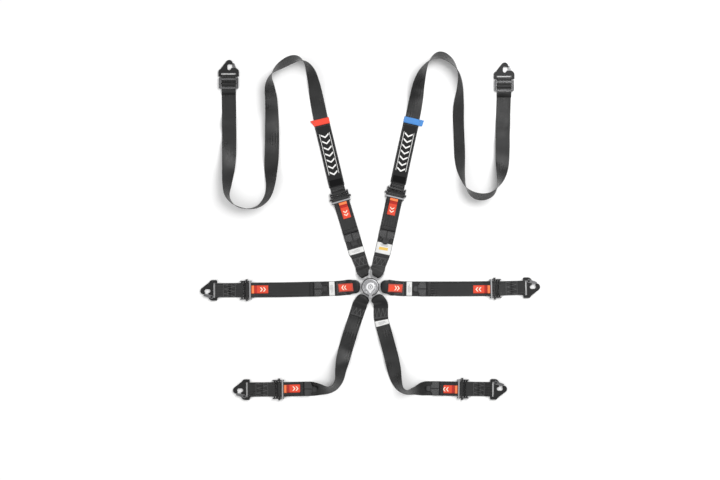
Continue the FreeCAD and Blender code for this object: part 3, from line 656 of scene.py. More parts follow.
def coated(name, colour, roughness, under=(0.5, 0.5, 0.51), wear=0.0006, painted_highlight_above=None):
    """Black coated steel: satin with a fine grain, worn to bright metal on its edges.

    The height argument, in metres, is where the top begins to be painted as bright bare metal: a painted
    highlight along the top, not wear.
    """
    shader = Shader(name, colour, roughness, Specular_IOR_Level=0.35)
    patches = shader.noise(45, 4.0)
    mask = shader.edges(wear)
    # Painted highlight: the coat higher than the given height is painted as bright metal, in patches.
    if painted_highlight_above:
        height = Value(shader, shader.add("SeparateXYZ", shader.place()), "Z")
        rubbed = height.maths("GREATER_THAN", painted_highlight_above) * shader.noise(260, 4.0).span(0.55, 1.25)
        mask = mask.maths("MAXIMUM", rubbed).maths("MINIMUM", 1.0)
    return shader.paint(
        Base_Color=shader.mixed(mask, patches.shades(colour, (0.25, 0.7), (0.75, 1.5)), under),
        Metallic=mask * 0.8,
        Roughness=patches.span(roughness - 0.07, roughness + 0.1),
        Normal=shader.noise(900, 3.0, 0.7).relief(0.25, 0.00008),
    )


def moulded(name, colour, roughness):
    """Moulded black plastic or rubber with a fine pebbled skin."""
    shader = Shader(name, colour, roughness, Specular_IOR_Level=0.35)
    cells = Value(shader, shader.add("TexVoronoi", Vector=shader.place(), Scale=1100), "Distance")
    rubbed = shader.noise(35, 4.0)
    return shader.paint(
        Base_Color=rubbed.shades(colour, (0.25, 0.75), (0.75, 1.6)),
        Roughness=rubbed.span(roughness - 0.08, roughness + 0.14),
        Normal=cells.relief(0.3, 0.00012),
    )


def floor_paint():
    """Matt white board, very slightly uneven."""
    shader = Shader("floor", (0.96, 0.96, 0.96), 0.9, Specular_IOR_Level=0.1)
    return shader.paint(Base_Color=shader.noise(3, 2.0).shades((1, 1, 1), (0.0, 0.955), (1.0, 0.965)))


BLACK = (0.0058, 0.0058, 0.006)
RIBBON = {"rib": 1.1, "panel": 3.0, "thread": 0.6, "strength": 0.35}
# Height in metres above which the adjuster's top is painted bright: a painted highlight of its rounded bar.
PAINTED_HIGHLIGHT_ABOVE = 0.0119
LOOP = {"rib": 1.3, "panel": 4.0, "thread": 0.7, "strength": 0.4, "roughness": 0.6, "sheen": 0.15}
M = {
    "floor": floor_paint(),
    # The webbing's strong contrast paints broad bands of light and shade into its colour, as well as uneven
    # dye.
    "webbing": woven("harness_webbing", BLACK, sheen=0.05, roughness=0.39, contrast=0.6),
    "fold": woven("folded_webbing", scaled(BLACK, 0.72), rib=1.6, panel=3.0, sheen=0.12, roughness=0.6),
    "flap": woven("sewn_flap", scaled(BLACK, 4.4), rib=4.2, panel=40.0, contrast=0.8, sheen=0.1),
    "sleeve": knitted("sleeve_cloth", (0.017, 0.017, 0.0175)),
    "velvet": knitted("closing_band", (0.003, 0.003, 0.0032), 0.95),
    "red": woven("red_ribbon", (0.72, 0.055, 0.018), contrast=0.12, roughness=0.55, sheen=0.15, **RIBBON),
    # Lighter orange for the tab's raised fold: a painted sheen where the fold catches the light.
    "painted_sheen_red": woven("red_ribbon_painted_sheen", (0.92, 0.20, 0.055), contrast=0.15, sheen=0.2, **RIBBON),
    # Darker red for a sheet laid in the tab's dip: painted shade, not a colour of the ribbon.
    "painted_shade_red": woven(
        "red_ribbon_painted_shade", (0.42, 0.014, 0.006), contrast=0.25, roughness=0.6, sheen=0.1, **RIBBON
    ),
    "loop_red": woven("red_loop", (0.78, 0.055, 0.026), contrast=0.12, **LOOP),
    "loop_blue": woven("blue_loop", (0.060, 0.245, 0.62), contrast=0.15, **LOOP),
    "thread": thread_cloth("black_thread", (0.03, 0.03, 0.031)),
    "grey_thread": thread_cloth("grey_thread", (0.10, 0.10, 0.101)),
    "label": printed_film("white_label", (0.74, 0.74, 0.73)),
    "label_ink": printed_film("label_ink", (0.22, 0.22, 0.23)),
    "gold": printed_film("gold_patch", (0.78, 0.50, 0.09)),
    "print": printed_film("white_print", (0.86, 0.86, 0.84)),
    "cream": printed_film("cream_print", (0.90, 0.80, 0.66)),
    "boot": moulded("tongue_boot", (0.0055, 0.0055, 0.006), 0.45),
    "housing": moulded("housing_plastic", (0.006, 0.006, 0.0065), 0.42),
    "ink": moulded("badge_ink", (0.07, 0.07, 0.075), 0.5),
    # The slide's broad bright edges, wear 0.0016, are partly edge wear and partly a painted highlight on its
    # rounded bars.
    "slide": coated("slide_coating", (0.062, 0.062, 0.064), 0.34, wear=0.0016),
    "hook": coated("hook_coating", (0.005, 0.005, 0.0054), 0.5, (0.3, 0.3, 0.31), 0.0005),
    "adjuster": coated(
        "adjuster_coating", (0.006, 0.006, 0.0065), 0.4, (0.42, 0.42, 0.43), painted_highlight_above=PAINTED_HIGHLIGHT_ABOVE
    ),
    "lock": coated("lock_coating", (0.01, 0.01, 0.0105), 0.35),
    "tongue": metal("tongue_steel", (0.50, 0.50, 0.51), 0.36),
    "steel": metal("plain_steel", (0.50, 0.50, 0.51), 0.34),
    "gate": metal("gate_steel", (0.20, 0.20, 0.205), 0.36),
    "alloy": metal("knob_alloy", (0.42, 0.42, 0.43), 0.42, 1920),
    "badge": metal("badge_alloy", (0.88, 0.88, 0.89), 0.5, 2400, (0.95, 0.95, 0.95)),
}

# ---- CAD nodes that stay

# Look and bevel, in millimetres, of each CAD node that shows.
NODE_LOOKS = {
    "buckle_base": ("steel", 0.4),
    "buckle_housing": ("housing", 0.4),
    "buckle_spindle": ("steel", 0.2),
    "base_screws": ("steel", 0.2),
    "latch_plate": ("steel", 0.2),
    "latch_spring": ("steel", 0.0),
    "release_cam": ("steel", 0.15),
}
STRAP_LOOKS = {
    "tongue": ("tongue", 0.45),
    "adjuster_frame": ("adjuster", 0.6),
    "lock_bar": ("lock", 0.5),
    "hook": ("hook", 0.5),
    "hook_gate": ("gate", 0.3),
    "slider": ("slide", 1.2),
}


def dress_node(node, look, bevel):
    """Gives a CAD node its material and rounds its edges by bevel millimetres."""
    node.data.materials.clear()
    node.data.materials.append(M[look])
    if bevel:
        weld = node.modifiers.new("weld", "WELD")
        weld.merge_threshold = 0.02 * MM
        soften = node.modifiers.new("soften", "BEVEL")
        soften.width = bevel * MM
        soften.segments = 2
        soften.limit_method = "ANGLE"
        soften.angle_limit = math.radians(40)
        soften.harden_normals = True


def dress_nodes():
    looks = dict(NODE_LOOKS)
    for strap in STRAPS:
        looks.update({f"{strap}_{part}": look for part, look in STRAP_LOOKS.items()})
    for name, (look, bevel) in looks.items():
        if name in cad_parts:
            dress_node(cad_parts[name], look, bevel)


def fasten(things, body):
    """Lets each thing ride on a body."""
    for thing in things:
        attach(thing, body)


def laid(made, flat, extras=(), stands_for=None, body=None):
    """Hides the CAD node that the piece stands for, if any, and lets the piece ride with its extras on the
    body given. Its flat size, in millimetres, is not used.
    """
    if stands_for:
        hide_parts(stands_for)
    flat[0] * MM
    flat[1] * MM
    if body:
        fasten([*extras, made], body)


# ---- buckle


DIAL_RADIUS = 28.7
DIAL_FOOT = 20.4
DIAL_TOP = 26.4
DIAL_STEPS = 144
RECESS_RADIUS = 12.5
RECESS_TOP = 25.2
FLUTES = 12
FLUTE_DEPTH = 1.5
FLUTE_START = 15
FLUTE_END = 25
BADGE_RADIUS = 14.5
BADGE_TIP = 23
BADGE_TOP = 27.7
LEVER_ROOT = 8.0
LEVER_TIP = 4.5
LEVER_START = 12
LEVER_REACH = 38.5


def dial_flute(r, angle):
    """Shallow fan facets between the badge and the rim."""
    if not FLUTE_START < r < FLUTE_END:
        return 0.0
    share = (angle * FLUTES / (2 * math.pi)) % 1
    return -FLUTE_DEPTH * share * math.sin(math.pi * (r - FLUTE_START) / (FLUTE_END - FLUTE_START))


def dial():
    """The fluted dial, hollow underneath where the latch spring rises. Its profile is (radius, height)."""
    rim, top = DIAL_RADIUS, DIAL_TOP
    profile = [(RECESS_RADIUS, RECESS_TOP), (RECESS_RADIUS, DIAL_FOOT)]
    profile += [(rim - 0.8, DIAL_FOOT), (rim, DIAL_FOOT + 0.8), (rim, top - 2.2), (rim - 0.5, top - 1.2)]
    profile += [(rim - 1.5, top - 0.5), (rim - 2.6, top - 0.3), (rim - 2.9, top - 0.9)]
    profile += [(rim - 3.6, top - 0.9), (rim - 3.9, top - 0.2)]
    profile += [(r, top) for r in (24, 22.5, 21, 19.5, 18, 16.5, 15)]
    profile += [(14.8, top + 0.1), (13.5, top + 0.2), (8, top + 0.2)]
    points, uvs, faces = [], [], []
    count = len(profile)
    end = count * DIAL_STEPS
    for k in range(DIAL_STEPS):
        angle = 2 * math.pi * k / DIAL_STEPS
        for r, z in profile:
            points.append(Vector((r * math.cos(angle), r * math.sin(angle), z + dial_flute(r, angle))))
            uvs.append((r, 30 * angle))
        a, b = k * count, (k + 1) % DIAL_STEPS * count
        faces += [(a + j, b + j, b + j + 1, a + j + 1) for j in range(count - 1)]
        faces += [(a + count - 1, b + count - 1, end), (b, a, end + 1)]
    points += [Vector((0, 0, top + 0.2)), Vector((0, 0, RECESS_TOP))]
    return crisp(face_up(piece("knob_dial", points, faces, uvs + [(0, 0), (0, 0)], "alloy")), 28)


def outline_slab(name, outline, low, high, look, edge):
    """An upright slab from a closed outline, with its upper edge rounded over."""
    middle = sum(map(Vector, outline), Vector((0, 0))) / len(outline)
    levels = [(0.0, low), (0.0, high - edge), (0.3 * edge, high - 0.3 * edge)]
    levels += [(edge, high), (2.2 * edge, high + 0.02)]
    points, uvs = [], []
    for inset, z in levels:
        for p in map(Vector, outline):
            place = p + (middle - p).normalized() * inset
            points.append(Vector((*place, z)))
            uvs.append(tuple(place))
    count = len(outline)
    faces = grid_faces(len(levels), count)
    faces += [tuple(range(count)), tuple(range(len(points) - count, len(points)))]
    return crisp(face_up(piece(name, points, faces, uvs, look)), 40)


def knob_lever():
    """The pointed grip on the dial, from under the badge out over the rim."""
    steps = 10
    side = []
    for k in range(steps + 1):
        x = LEVER_ROOT - (LEVER_ROOT - LEVER_TIP) * step(k, 0, steps) ** 0.8
        side.append((x, -LEVER_START - (LEVER_REACH - LEVER_START) * k / steps))
    angles = [math.pi * k / 8 for k in range(1, 8)]
    end = [(LEVER_TIP * math.cos(a), -LEVER_REACH - LEVER_TIP * math.sin(a)) for a in angles]
    outline = side + end + [(-x, y) for x, y in side[::-1]]
    return outline_slab("knob_lever", outline, DIAL_FOOT, DIAL_TOP + 0.5, "alloy", 1.0)


def badge():
    """The pale drop-shaped plate in the middle of the dial, its point towards the lever."""
    start = math.asin(BADGE_RADIUS / BADGE_TIP)
    angles = [-start + (math.pi + 2 * start) * k / 40 for k in range(41)]
    outline = [(BADGE_RADIUS * math.cos(a), BADGE_RADIUS * math.sin(a)) for a in angles] + [(0, -BADGE_TIP)]
    return outline_slab("knob_badge", outline, DIAL_TOP - 0.3, BADGE_TOP, "badge", 0.8)


def badge_mark():
    """A plain ring and dot set in the badge."""
    reach = 20
    flat = Strip([(Vector((0, y, BADGE_TOP)), Vector((1, 0, 0)), W) for y in (-reach, reach)], 0.0)
    inner, outer, dot, steps = 6.4, 8.2, 2.4, 24

    def spot(radius, k):
        a = 2 * math.pi * k / steps
        return (reach + radius * math.sin(a), radius * math.cos(a))

    shapes = [[spot(outer, k), spot(outer, k + 1), spot(inner, k + 1), spot(inner, k)] for k in range(steps)]
    shapes.append([spot(dot, k) for k in range(steps)])
    return decals("knob_mark", flat, shapes, "ink", 0.0, 0.2)


def knob():
    for made in (dial(), knob_lever()):
        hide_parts("release_knob")
        fasten([made], "knob")
    plate = badge()
    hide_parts("knob_cap")
    fasten([plate, badge_mark()], "knob")


# ---- boots
# The rows of a boot are distances from the middle of the buckle.

BOOT_ROWS = (36, 37, 38.5, 41, 45, 50, 55, 60, 64, 68, 72, 76, 80, 82.5, 84)
BOOT_START = 35.2
BOOT_BROAD = 58
BOOT_HALF = 23.6
BOOT_POWER = 2.6
RING_POINTS = 32


def boot_levels(u):
    """Lowest and highest point of the boot at u."""
    hump = step(u, 34, 12) * (1 - step(u, 54, 14))
    high = 8.9 + 3.3 * hump - 4.4 * step(u, 60, 20)
    low = 3.2 - 2.4 * step(u, 36, 12) - 0.6 * step(u, 52, 12)
    return low, high


def boot_half(u, width):
    """Half the boot's width at u: round at the buckle's side and as wide as the webbing at the other."""
    nose = max(0.0, (BOOT_BROAD - u) / (BOOT_BROAD - BOOT_START))
    spread = width / 2 + 0.6 - BOOT_HALF
    return BOOT_HALF * (1 - nose**BOOT_POWER) ** (1 / BOOT_POWER) + spread * step(u, BOOT_BROAD, 16)


def boot_ring(u, width, shrink):
    """Ring of points round the boot at u, drawn in by shrink."""
    low, high = boot_levels(u)
    half, high, low = boot_half(u, width) - shrink, high - shrink, low + min(shrink, 0.6)
    ring = []
    for k in range(RING_POINTS):
        a = math.pi / 2 - 2 * math.pi * k / RING_POINTS
        c, s = math.cos(a), math.sin(a)
        up = (high + low) / 2 + math.copysign(abs(s) ** 0.7, s) * (high - low) / 2
        ring.append((math.copysign(abs(c) ** 0.45, c) * half, up))
    return ring


def boot_frames(ahead, low):
    """Frames that leave the tongue straight and then follow the webbing."""
    foot, along = low[0][0], (low[1][0] - low[0][0]).normalized()
    frames = []
    for u in BOOT_ROWS:
        follow = foot + along * (u - foot.xy.length)
        share = step(u, 46, 30)
        place = (ahead * u).lerp(Vector((*follow.xy, 0)), share)
        frames.append((place, right_of(ahead).lerp(low[0][1], share).normalized(), 1))
    return frames


def boot(strap, low):
    """The moulded boot over the tongue's fork and the webbing that turns round its bar."""
    width = STRAPS[strap]["width"]
    ahead = heading_of(STRAPS[strap]["tongue"])
    outer, inner = ([boot_ring(u, width, shrink) for u in BOOT_ROWS] for shrink in (0.0, 1.0))
    made = crisp(tube(f"{strap}_boot", boot_frames(ahead, low), outer, inner, "boot"), 50)
    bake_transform(made)


# ---- the adjustable straps


TONGUE_AXIS_Z = 6.5
TONGUE_BAR_AT = 48
TONGUE_LOOP_RADIUS = 3.35
TURN_REACH = 8.5
FORK_AT = 53
FORK_INNER = 18.5
FORK_END = 60
EAR_WIDTH = 35
EAR_ROWS = ((63, 2.5, 0.75), (60, 2.7, 0.66), (56, 2.95, 0.42), (52, 3.2, 0.1))
NECK_AT = 57
NECK_HALF = 18.4
NECK_TAPER = 0.08
NECK_LENGTH = 125
NECK_SHIFT = 7
CROTCH_RIPPLE = 5.5
OVERLAP_LENGTH = 45


def outward(angle):
    """The direction across a shoulder tongue that leads away from the other one."""
    ahead = heading_of(angle)
    return right_of(ahead) * (-1 if ahead.x < 0 else 1)


def drawn_in(item, angle):
    """The frame with its outer edge drawn in to the neck line beside the tongue."""
    middle, across, width = item
    away, ahead = outward(angle), heading_of(angle)
    edge = middle + across * (width / 2 if across.dot(away) > 0 else -width / 2)
    spare = edge.dot(away) - (NECK_HALF - NECK_TAPER * (edge.dot(ahead) - NECK_AT))
    if edge.dot(ahead) > NECK_LENGTH or spare <= 0:
        return item
    return middle - away * spare / 2, across, width - spare


def low_frames(strap):
    """The run of a strap on the floor, uneven only where nothing lies on it."""
    spec = STRAPS[strap]
    stations = [(*place, spec["width"], 0) for place in spec["route"]]
    if strap.startswith("crotch"):
        return route(stations, CROTCH_RIPPLE, (OVERLAP_LENGTH, spec["tail"]))
    if strap.startswith("shoulder"):
        return [drawn_in(item, spec["tongue"]) for item in route(stations)]
    return route(stations)


def over_ears(angle, width, beside_by):
    """The upper layer above the fork's arms, rounded in towards the bar and shifted to the middle."""
    frames = []
    for u, rise, share in EAR_ROWS:
        origin = outward(angle) * -beside_by * share
        wide = EAR_WIDTH + (width - EAR_WIDTH) * share
        frames += side_frames(origin[:2], angle, [(u, TONGUE_AXIS_Z + rise)], wide)
    return frames


def flared(start, end):
    """Frames between the ears' end and the run, opening quickly to the run's width."""
    frames = []
    for share in (0.25, 0.5, 0.75):
        wide = start[2] + (end[2] - start[2]) * min(1.0, 0.5 + 0.75 * share)
        middle = start[0].lerp(end[0], share)
        middle.z = start[0].z + (end[0].z - start[0].z) * step(share)
        frames.append((middle, start[1].lerp(end[1], share).normalized(), wide))
    return frames


def fork_room(u):
    """Width between the fork's arms at u, less a little play."""
    return 2 * (math.sqrt(FORK_INNER**2 - min(u - FORK_AT, 0.0) ** 2) - 0.5)


def bar_turn(angle):
    """The loose turn round the tongue's bar, which fills the round end of the fork."""
    frames = []
    for k in range(TURN_STEPS + 1):
        a = math.pi / 2 + math.pi * k / TURN_STEPS
        u = TONGUE_BAR_AT + TURN_REACH * math.cos(a)
        z = TONGUE_AXIS_Z + TONGUE_LOOP_RADIUS * math.sin(a)
        frames += side_frames((0, 0), angle, [(u, z)], fork_room(u - WEB / 2))
    return frames


def lock_turn(spec):
    x, y, degrees = spec["adjuster"]
    return side_frames((x, y), degrees, turn_points(0, BAR_HEIGHT, BAR_TURN, -90, 90), spec["width"])


def main_frames(strap, low):
    """Sewn overlap, turn round the tongue's bar and the run out to the foot of the lock bar."""
    spec = STRAPS[strap]
    angle = spec["tongue"]
    upper = over_ears(angle, spec["width"], NECK_SHIFT if strap.startswith("shoulder") else 0)
    lower = side_frames((0, 0), angle, [(FORK_END + 2, TONGUE_AXIS_Z - 4.4)], EAR_WIDTH)
    over = raised(low[: ROW_STEPS + 1], LAYER)
    frames = over[::-1] + flared(upper[0], over[0])[::-1] + upper + bar_turn(angle)
    return frames + lower + flared(lower[0], low[0]) + low + lock_turn(spec)[:1]


def strap_webbing(strap, low):
    """The webbing from its sewn overlap to the adjuster."""
    frames = main_frames(strap, low)
    made = webbing(f"{strap}_webbing", frames)
    flat = (STRAPS[strap]["width"], Strip(frames).length)
    laid(made, flat, stands_for=f"{strap}_strap")
    run = Strip(low)
    start, end = run.point(0.42 * run.length, 0, 0), run.point(0.93 * run.length, 0, 0)
    if strap.startswith("crotch"):
        start, end = low[-1 - ROW_STEPS][0], low[-1][0]
    start * MM
    end * MM
    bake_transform(made)


# ---- free ends
# A free end runs back from the lock bar; places near its point are distances before its end.

LIP_AT = -15
TAIL_START = 36
TAIL_LIFT = 2.8
TAIL_LIFT_LENGTH = 60
TAIL_TIP = 0.38
ON_CLOTH = 0.04
FOLD_AT = (64, 53)
FOLD_THICK = 1.9
HEM_AT = (52, 48.5)
FLAP_THICK = 1.2
HEM_THICK = 1.3
TAB_WIDTH = 28
TAB_LENGTH = 60
TAB_THICK = 1.3
TAB_ARROWS = (0.52, 0.70)
TAB_SHIFTS = {"shoulder_left": 3.0, "shoulder_right": -1.0}


def refined(frames, gap=2.5):
    """The same frames with more between them, none further apart than gap."""
    made = []
    for a, b in zip(frames, frames[1:]):
        count = max(1, math.ceil((b[0] - a[0]).length / gap))
        for k in range(count):
            t = k / count
            made.append((a[0].lerp(b[0], t), a[1].lerp(b[1], t).normalized(), a[2] + (b[2] - a[2]) * t))
    return made + frames[-1:]


def shaped_tail(frames, length, start):
    """Lifts the end of the tail a little off the run and draws it in to a blunt point."""
    made = []
    for middle, across, width in frames:
        left = length - math.dist(start, middle[:2])
        lift = TAIL_LIFT * step(TAIL_LIFT_LENGTH - left, 0, TAIL_LIFT_LENGTH)
        point = TAIL_TIP + (1 - TAIL_TIP) * step(left, 19, 9)
        if left < 8:
            point *= math.sqrt(1 - 0.9 * (1 - max(left, 0.0) / 8) ** 2)
        made.append((middle + UP * lift, across, width * point))
    return made


def tail_frames(strap, low):
    """The turn round the lock bar, over the lip and back along the run, with a folded point."""
    spec = STRAPS[strap]
    x, y, degrees = spec["adjuster"]
    length = spec["tail"]
    top = BAR_HEIGHT + BAR_TURN
    lip = [(LIP_AT + 2, top), (LIP_AT - 2, top - 0.3)]
    turn = lock_turn(spec) + side_frames((x, y), degrees, lip, spec["width"])
    run = raised(low, LAYER)[::-1]
    back = [item for item in run if TAIL_START < math.dist((x, y), item[0][:2]) < length - 3]
    end, across, width = back[-1]
    left = length - math.dist((x, y), end[:2])
    back.append((end + (end - back[-2][0]).normalized() * left, across, width))
    return turn + shaped_tail(refined(back), length, (x, y))


def tail_corner(strap, strip, side, half):
    """A stitched corner flap beside the point: its cloth and its hatching."""
    name = "left" if side < 0 else "right"
    end = strip.length
    flap = [(end - 48, side * 1.6), (end - 48, side * (half - 0.8)), (end - 28, side * (half - 0.8))]
    flap += [(end - 22, side * half * 0.6), (end - 18, side * half * 0.36), (end - 18, side * 1.6)]
    cloth = decals(f"{strap}_tail_corner_{name}", strip, [flap], "flap", ON_CLOTH, FLAP_THICK)
    hatch = []
    for k in range(7):
        s = end - 46 + 3.2 * k
        reach = max(5.0, (half - 3) * min(1.0, (end - 22 - s) / 8))
        hatch.append([(s, side * 3), (min(s + 6, end - 22), side * reach)])
    return [cloth, seam(f"{strap}_tail_hatching_{name}", strip, hatch, height=FLAP_THICK + 0.02)]


def tail_trim(strap, strip, half):
    """The free end's fold, hem, stitched corners, point and seams."""
    end = strip.length
    wide = (0.3 - half, half - 0.3)
    fold, hem = ((end - far, end - near) for far, near in (FOLD_AT, HEM_AT))
    trim = [patch(f"{strap}_tail_fold", strip, fold, wide, "fold", FOLD_THICK, ON_CLOTH, 7)]
    trim.append(patch(f"{strap}_tail_hem", strip, hem, wide, "velvet", HEM_THICK, ON_CLOTH, 4))
    trim += tail_corner(strap, strip, -1, half) + tail_corner(strap, strip, 1, half)
    tip = TAIL_TIP * half - 0.8
    nib = [(end - 16, -tip), (end - 16, tip), (end - 7, tip)]
    nib += [(end - 3, tip * 0.6), (end - 3, -tip * 0.6), (end - 7, -tip)]
    trim.append(decals(f"{strap}_tail_nib", strip, [nib], "flap", ON_CLOTH, FLAP_THICK))
    rows = cross_rows(half - 2, end - 60, end - 56, end - 52)
    trim.append(seam(f"{strap}_tail_seams", strip, rows, "thread", FOLD_THICK))
    return trim


def pull_tab(strap, strip):
    """The red tab that loosens the adjuster: a lighter orange sheet on its fold that is a painted sheen, a
    darker red sheet in the dip after it that is painted shade, and two plain arrowheads.
    """
    start = math.pi * BAR_TURN - LIP_AT + 1
    shift = TAB_SHIFTS.get(strap, 2.0)
    side = (shift - TAB_WIDTH / 2, shift + TAB_WIDTH / 2)

    def lift(s):
        """The tab stands in a fold beside the adjuster, dips, and lies down after it."""
        share = (s - start) / TAB_LENGTH
        fold = math.sin(math.pi * min(share / 0.2, 1.0)) * 3.0
        hump = math.sin(math.pi * min(max(share - 0.3, 0.0) / 0.4, 1.0)) * 1.2
        return 0.35 + fold + hump

    def over(name, first, last, look, thick, rows, base):
        s_range = (start + first, start + last)
        return patch(f"{strap}_{name}", strip, s_range, side, look, thick, lambda s: lift(s) + base, rows)

    tab = over("pull_tab", 0, TAB_LENGTH, "red", TAB_THICK, 41, 0)
    # Painted sheen: the sheet on the tab's fold is a lighter orange.
    fold = over("pull_tab_fold_painted_sheen", 0.5, 9, "painted_sheen_red", 0.9, 11, TAB_THICK)
    # Painted shade: a thin darker red sheet where the tab dips.
    painted_shade = over("pull_tab_painted_shade", 9, 20, "painted_shade_red", 0.14, 11, TAB_THICK - 0.02)
    marks = [arm for share in TAB_ARROWS for arm in arrowhead(start + TAB_LENGTH * share, 7.5, 6, 4, shift)]
    arrows = decals(f"{strap}_pull_tab_arrows", strip, marks, "cream", lambda s: lift(s) + TAB_THICK, 0.2)
    flat = (TAB_WIDTH, TAB_LENGTH)
    laid(tab, flat, [fold, painted_shade, arrows], body=f"{strap}_adjuster")


def strap_tail(strap, low):
    """The free end with its trim and pull tab; the trim and the tab go with the adjuster."""
    spec = STRAPS[strap]
    frames = tail_frames(strap, low)
    tail = webbing(f"{strap}_tail", frames)
    strip = Strip(frames, WEB, -1)
    trim = tail_trim(strap, strip, spec["width"] / 2)
    pull_tab(strap, strip)
    fasten(trim, f"{strap}_adjuster")
    flat = (spec["width"], strip.length)
    laid(tail, flat, trim, f"{strap}_strap")
    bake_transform(tail)


# ---- labels, tags and seams on the run
# Places along a strap are distances from the middle of the buckle.

LABELS = {
    "shoulder_left": (125, 144),
    "shoulder_right": (123, 161),
    "lap_left": (125, 144),
    "lap_right": (127, 146),
    "crotch_right": (127, 145),
}
LABEL_BARS = ((12, 1), (15, -1), (9, 3))
LABEL_BAR = 1.1
LABEL_PITCH = 3.6
GOLD_ROOM = 12
TAGS = {"lap_left": (60, 113), "lap_right": (62, 114)}
TAG_WIDTH = 28
TAG_CLEAR = 0.6
TAG_TOP = 0.66
TAG_ARROWS = (0.44, 0.62)


def label(strap, low):
    """A white label with grey bars for its print; the right shoulder's has a gold patch as well."""
    run = Strip(low)
    s0, s1 = (distance - low[0][0].xy.length for distance in LABELS[strap])
    middle = (s0 + s1) / 2
    half = STRAPS[strap]["width"] / 2 - 1
    made = patch(f"{strap}_label", run, (s0, s1), (-half, half), "label", 0.22)
    golden = strap == "shoulder_right"
    bars = []
    for k, (reach, shift) in enumerate(LABEL_BARS):
        s = middle + LABEL_PITCH * (k - 1) + (GOLD_ROOM if golden else 0)
        bars.append(box(s, s + LABEL_BAR, shift - reach, shift + reach))
    extras = [decals(f"{strap}_label_print", run, bars, "label_ink", 0.23, 0.08)]
    if golden:
        corners = [(middle - 7, -16), (middle + 3, -16), (middle + 5, 15), (middle - 5, 15)]
        extras.append(decals(f"{strap}_gold_patch", run, [corners], "gold", 0.24, 0.1))
    body = f"{strap}_webbing"
    laid(made, (2 * half, s1 - s0), extras, body=body)


def tag_strip(strap, low):
    """A straight surface in line with the run, from the boot's top down on to the sewn overlap."""
    start, end = TAGS[strap]
    boot_end = BOOT_ROWS[-1]
    foot = next(item for item in low if item[0].xy.length > boot_end + 4)
    far = next(item for item in low if item[0].xy.length > end + 10)
    ahead = (far[0] - foot[0]).normalized()
    frames = []
    for u in range(start, end + 7, 3):
        place = foot[0] + ahead * (u - foot[0].xy.length)
        if u <= boot_end:
            place.z = boot_levels(u)[1] - WEB / 2 + TAG_CLEAR
        else:
            place.z += LAYER + 0.1
        frames.append((place, foot[1], TAG_WIDTH))
    return Strip(frames)


def tag(strap, low):
    """The red ribbon tag sewn on the boot's root and the lap webbing."""
    over = tag_strip(strap, low)
    s0, s1 = 0.5, TAGS[strap][1] - TAGS[strap][0]
    half = TAG_WIDTH / 2
    made = patch(f"{strap}_tag", over, (s0, s1), (-half, half), "red", 0.55, 0.1, 25)
    marks = [arm for share in TAG_ARROWS for arm in arrowhead(s0 + (s1 - s0) * share, 8, 6, 4)]
    arrows = decals(f"{strap}_tag_arrows", over, marks, "cream", TAG_TOP, 0.15)
    path = box(s0 + 2, s1 - 2, 2 - half, half - 2)
    stitches = seam(f"{strap}_tag_seam", over, [path + path[:1]], height=TAG_TOP - 0.02)
    body = f"{strap}_webbing"
    laid(made, (TAG_WIDTH, s1 - s0), [arrows, stitches], body=body)


def overlap_seams(strap, low):
    """The zigzag and cross rows that close the loop round the tongue's bar."""
    over = Strip(raised(low[: ROW_STEPS + 1], LAYER))
    half = STRAPS[strap]["width"] / 2 - 4
    end = over.length - 3
    rows = [zigzag(5, end - 4, half, 6)] + cross_rows(half, end, 3, end - 3)
    fasten([seam(f"{strap}_overlap_seams", over, rows)], f"{strap}_webbing")


# ---- outer webbing


END_BAR_AT = 16
HOOK_BAR_HEIGHT = 5.2
HOOK_THICK = 3
SLIDER_LENGTH = 36
SLIDER_REACH = 9
SLIDE_STEPS = 16
SLIDE_DIP = 2.4
SLIDE_HUMP = 2.0
ANCHOR_FLAT = 22
LONG_RIPPLE = 6.0
SEAM_HALF = W / 2 - 4


def outer_webbing(strap, name, node, frames, strip, rows):
    """Outer webbing with its seams, from the adjuster's end bar to the hook."""
    made = webbing(f"{strap}_{name}", frames)
    seams = seam(f"{strap}_{name}_seams", strip, rows)
    flat = (W, Strip(frames).length)
    laid(made, flat, [seams], f"{strap}_{node}", f"{strap}_adjuster")


def end_bar_point(spec):
    x, y, degrees = spec["adjuster"]
    turn = math.radians(degrees)
    return x + END_BAR_AT * math.cos(turn), y + END_BAR_AT * math.sin(turn)


def anchor_strap(strap):
    """The doubled webbing between the adjuster's end bar and the hook, with its seams."""
    start, hook = end_bar_point(STRAPS[strap]), STRAPS[strap]["hook"]
    degrees = math.degrees(math.atan2(hook[1] - start[1], hook[0] - start[0]))
    length = math.dist(start, hook)
    near, middle, far = ANCHOR_FLAT, length / 2, length - ANCHOR_FLAT
    top = FLAT_Z + LAYER + 0.1
    points = [(middle + 0.5, top), ((middle + far) / 2, top), (far, top)]
    points += turn_points(length, HOOK_BAR_HEIGHT, BAR_TURN + LAYER_GAP, 90, -90)
    points += [(far, FLAT_Z), (near, FLAT_Z)]
    points += turn_points(0, BAR_HEIGHT, BAR_TURN, 270, 90)
    points += [(near, top), ((near + middle) / 2, top), (middle - 0.5, top)]
    upper = Strip(side_frames(start, degrees, [(near, top), (middle, top), (far, top)], W))
    end = upper.length
    path = box(2, end - 2, -SEAM_HALF - 1, SEAM_HALF + 1)
    rows = [zigzag(4, end - 4, SEAM_HALF, 5), path + path[:1]]
    outer_webbing(strap, "anchor", "anchor_strap", side_frames(start, degrees, points, W), upper, rows)


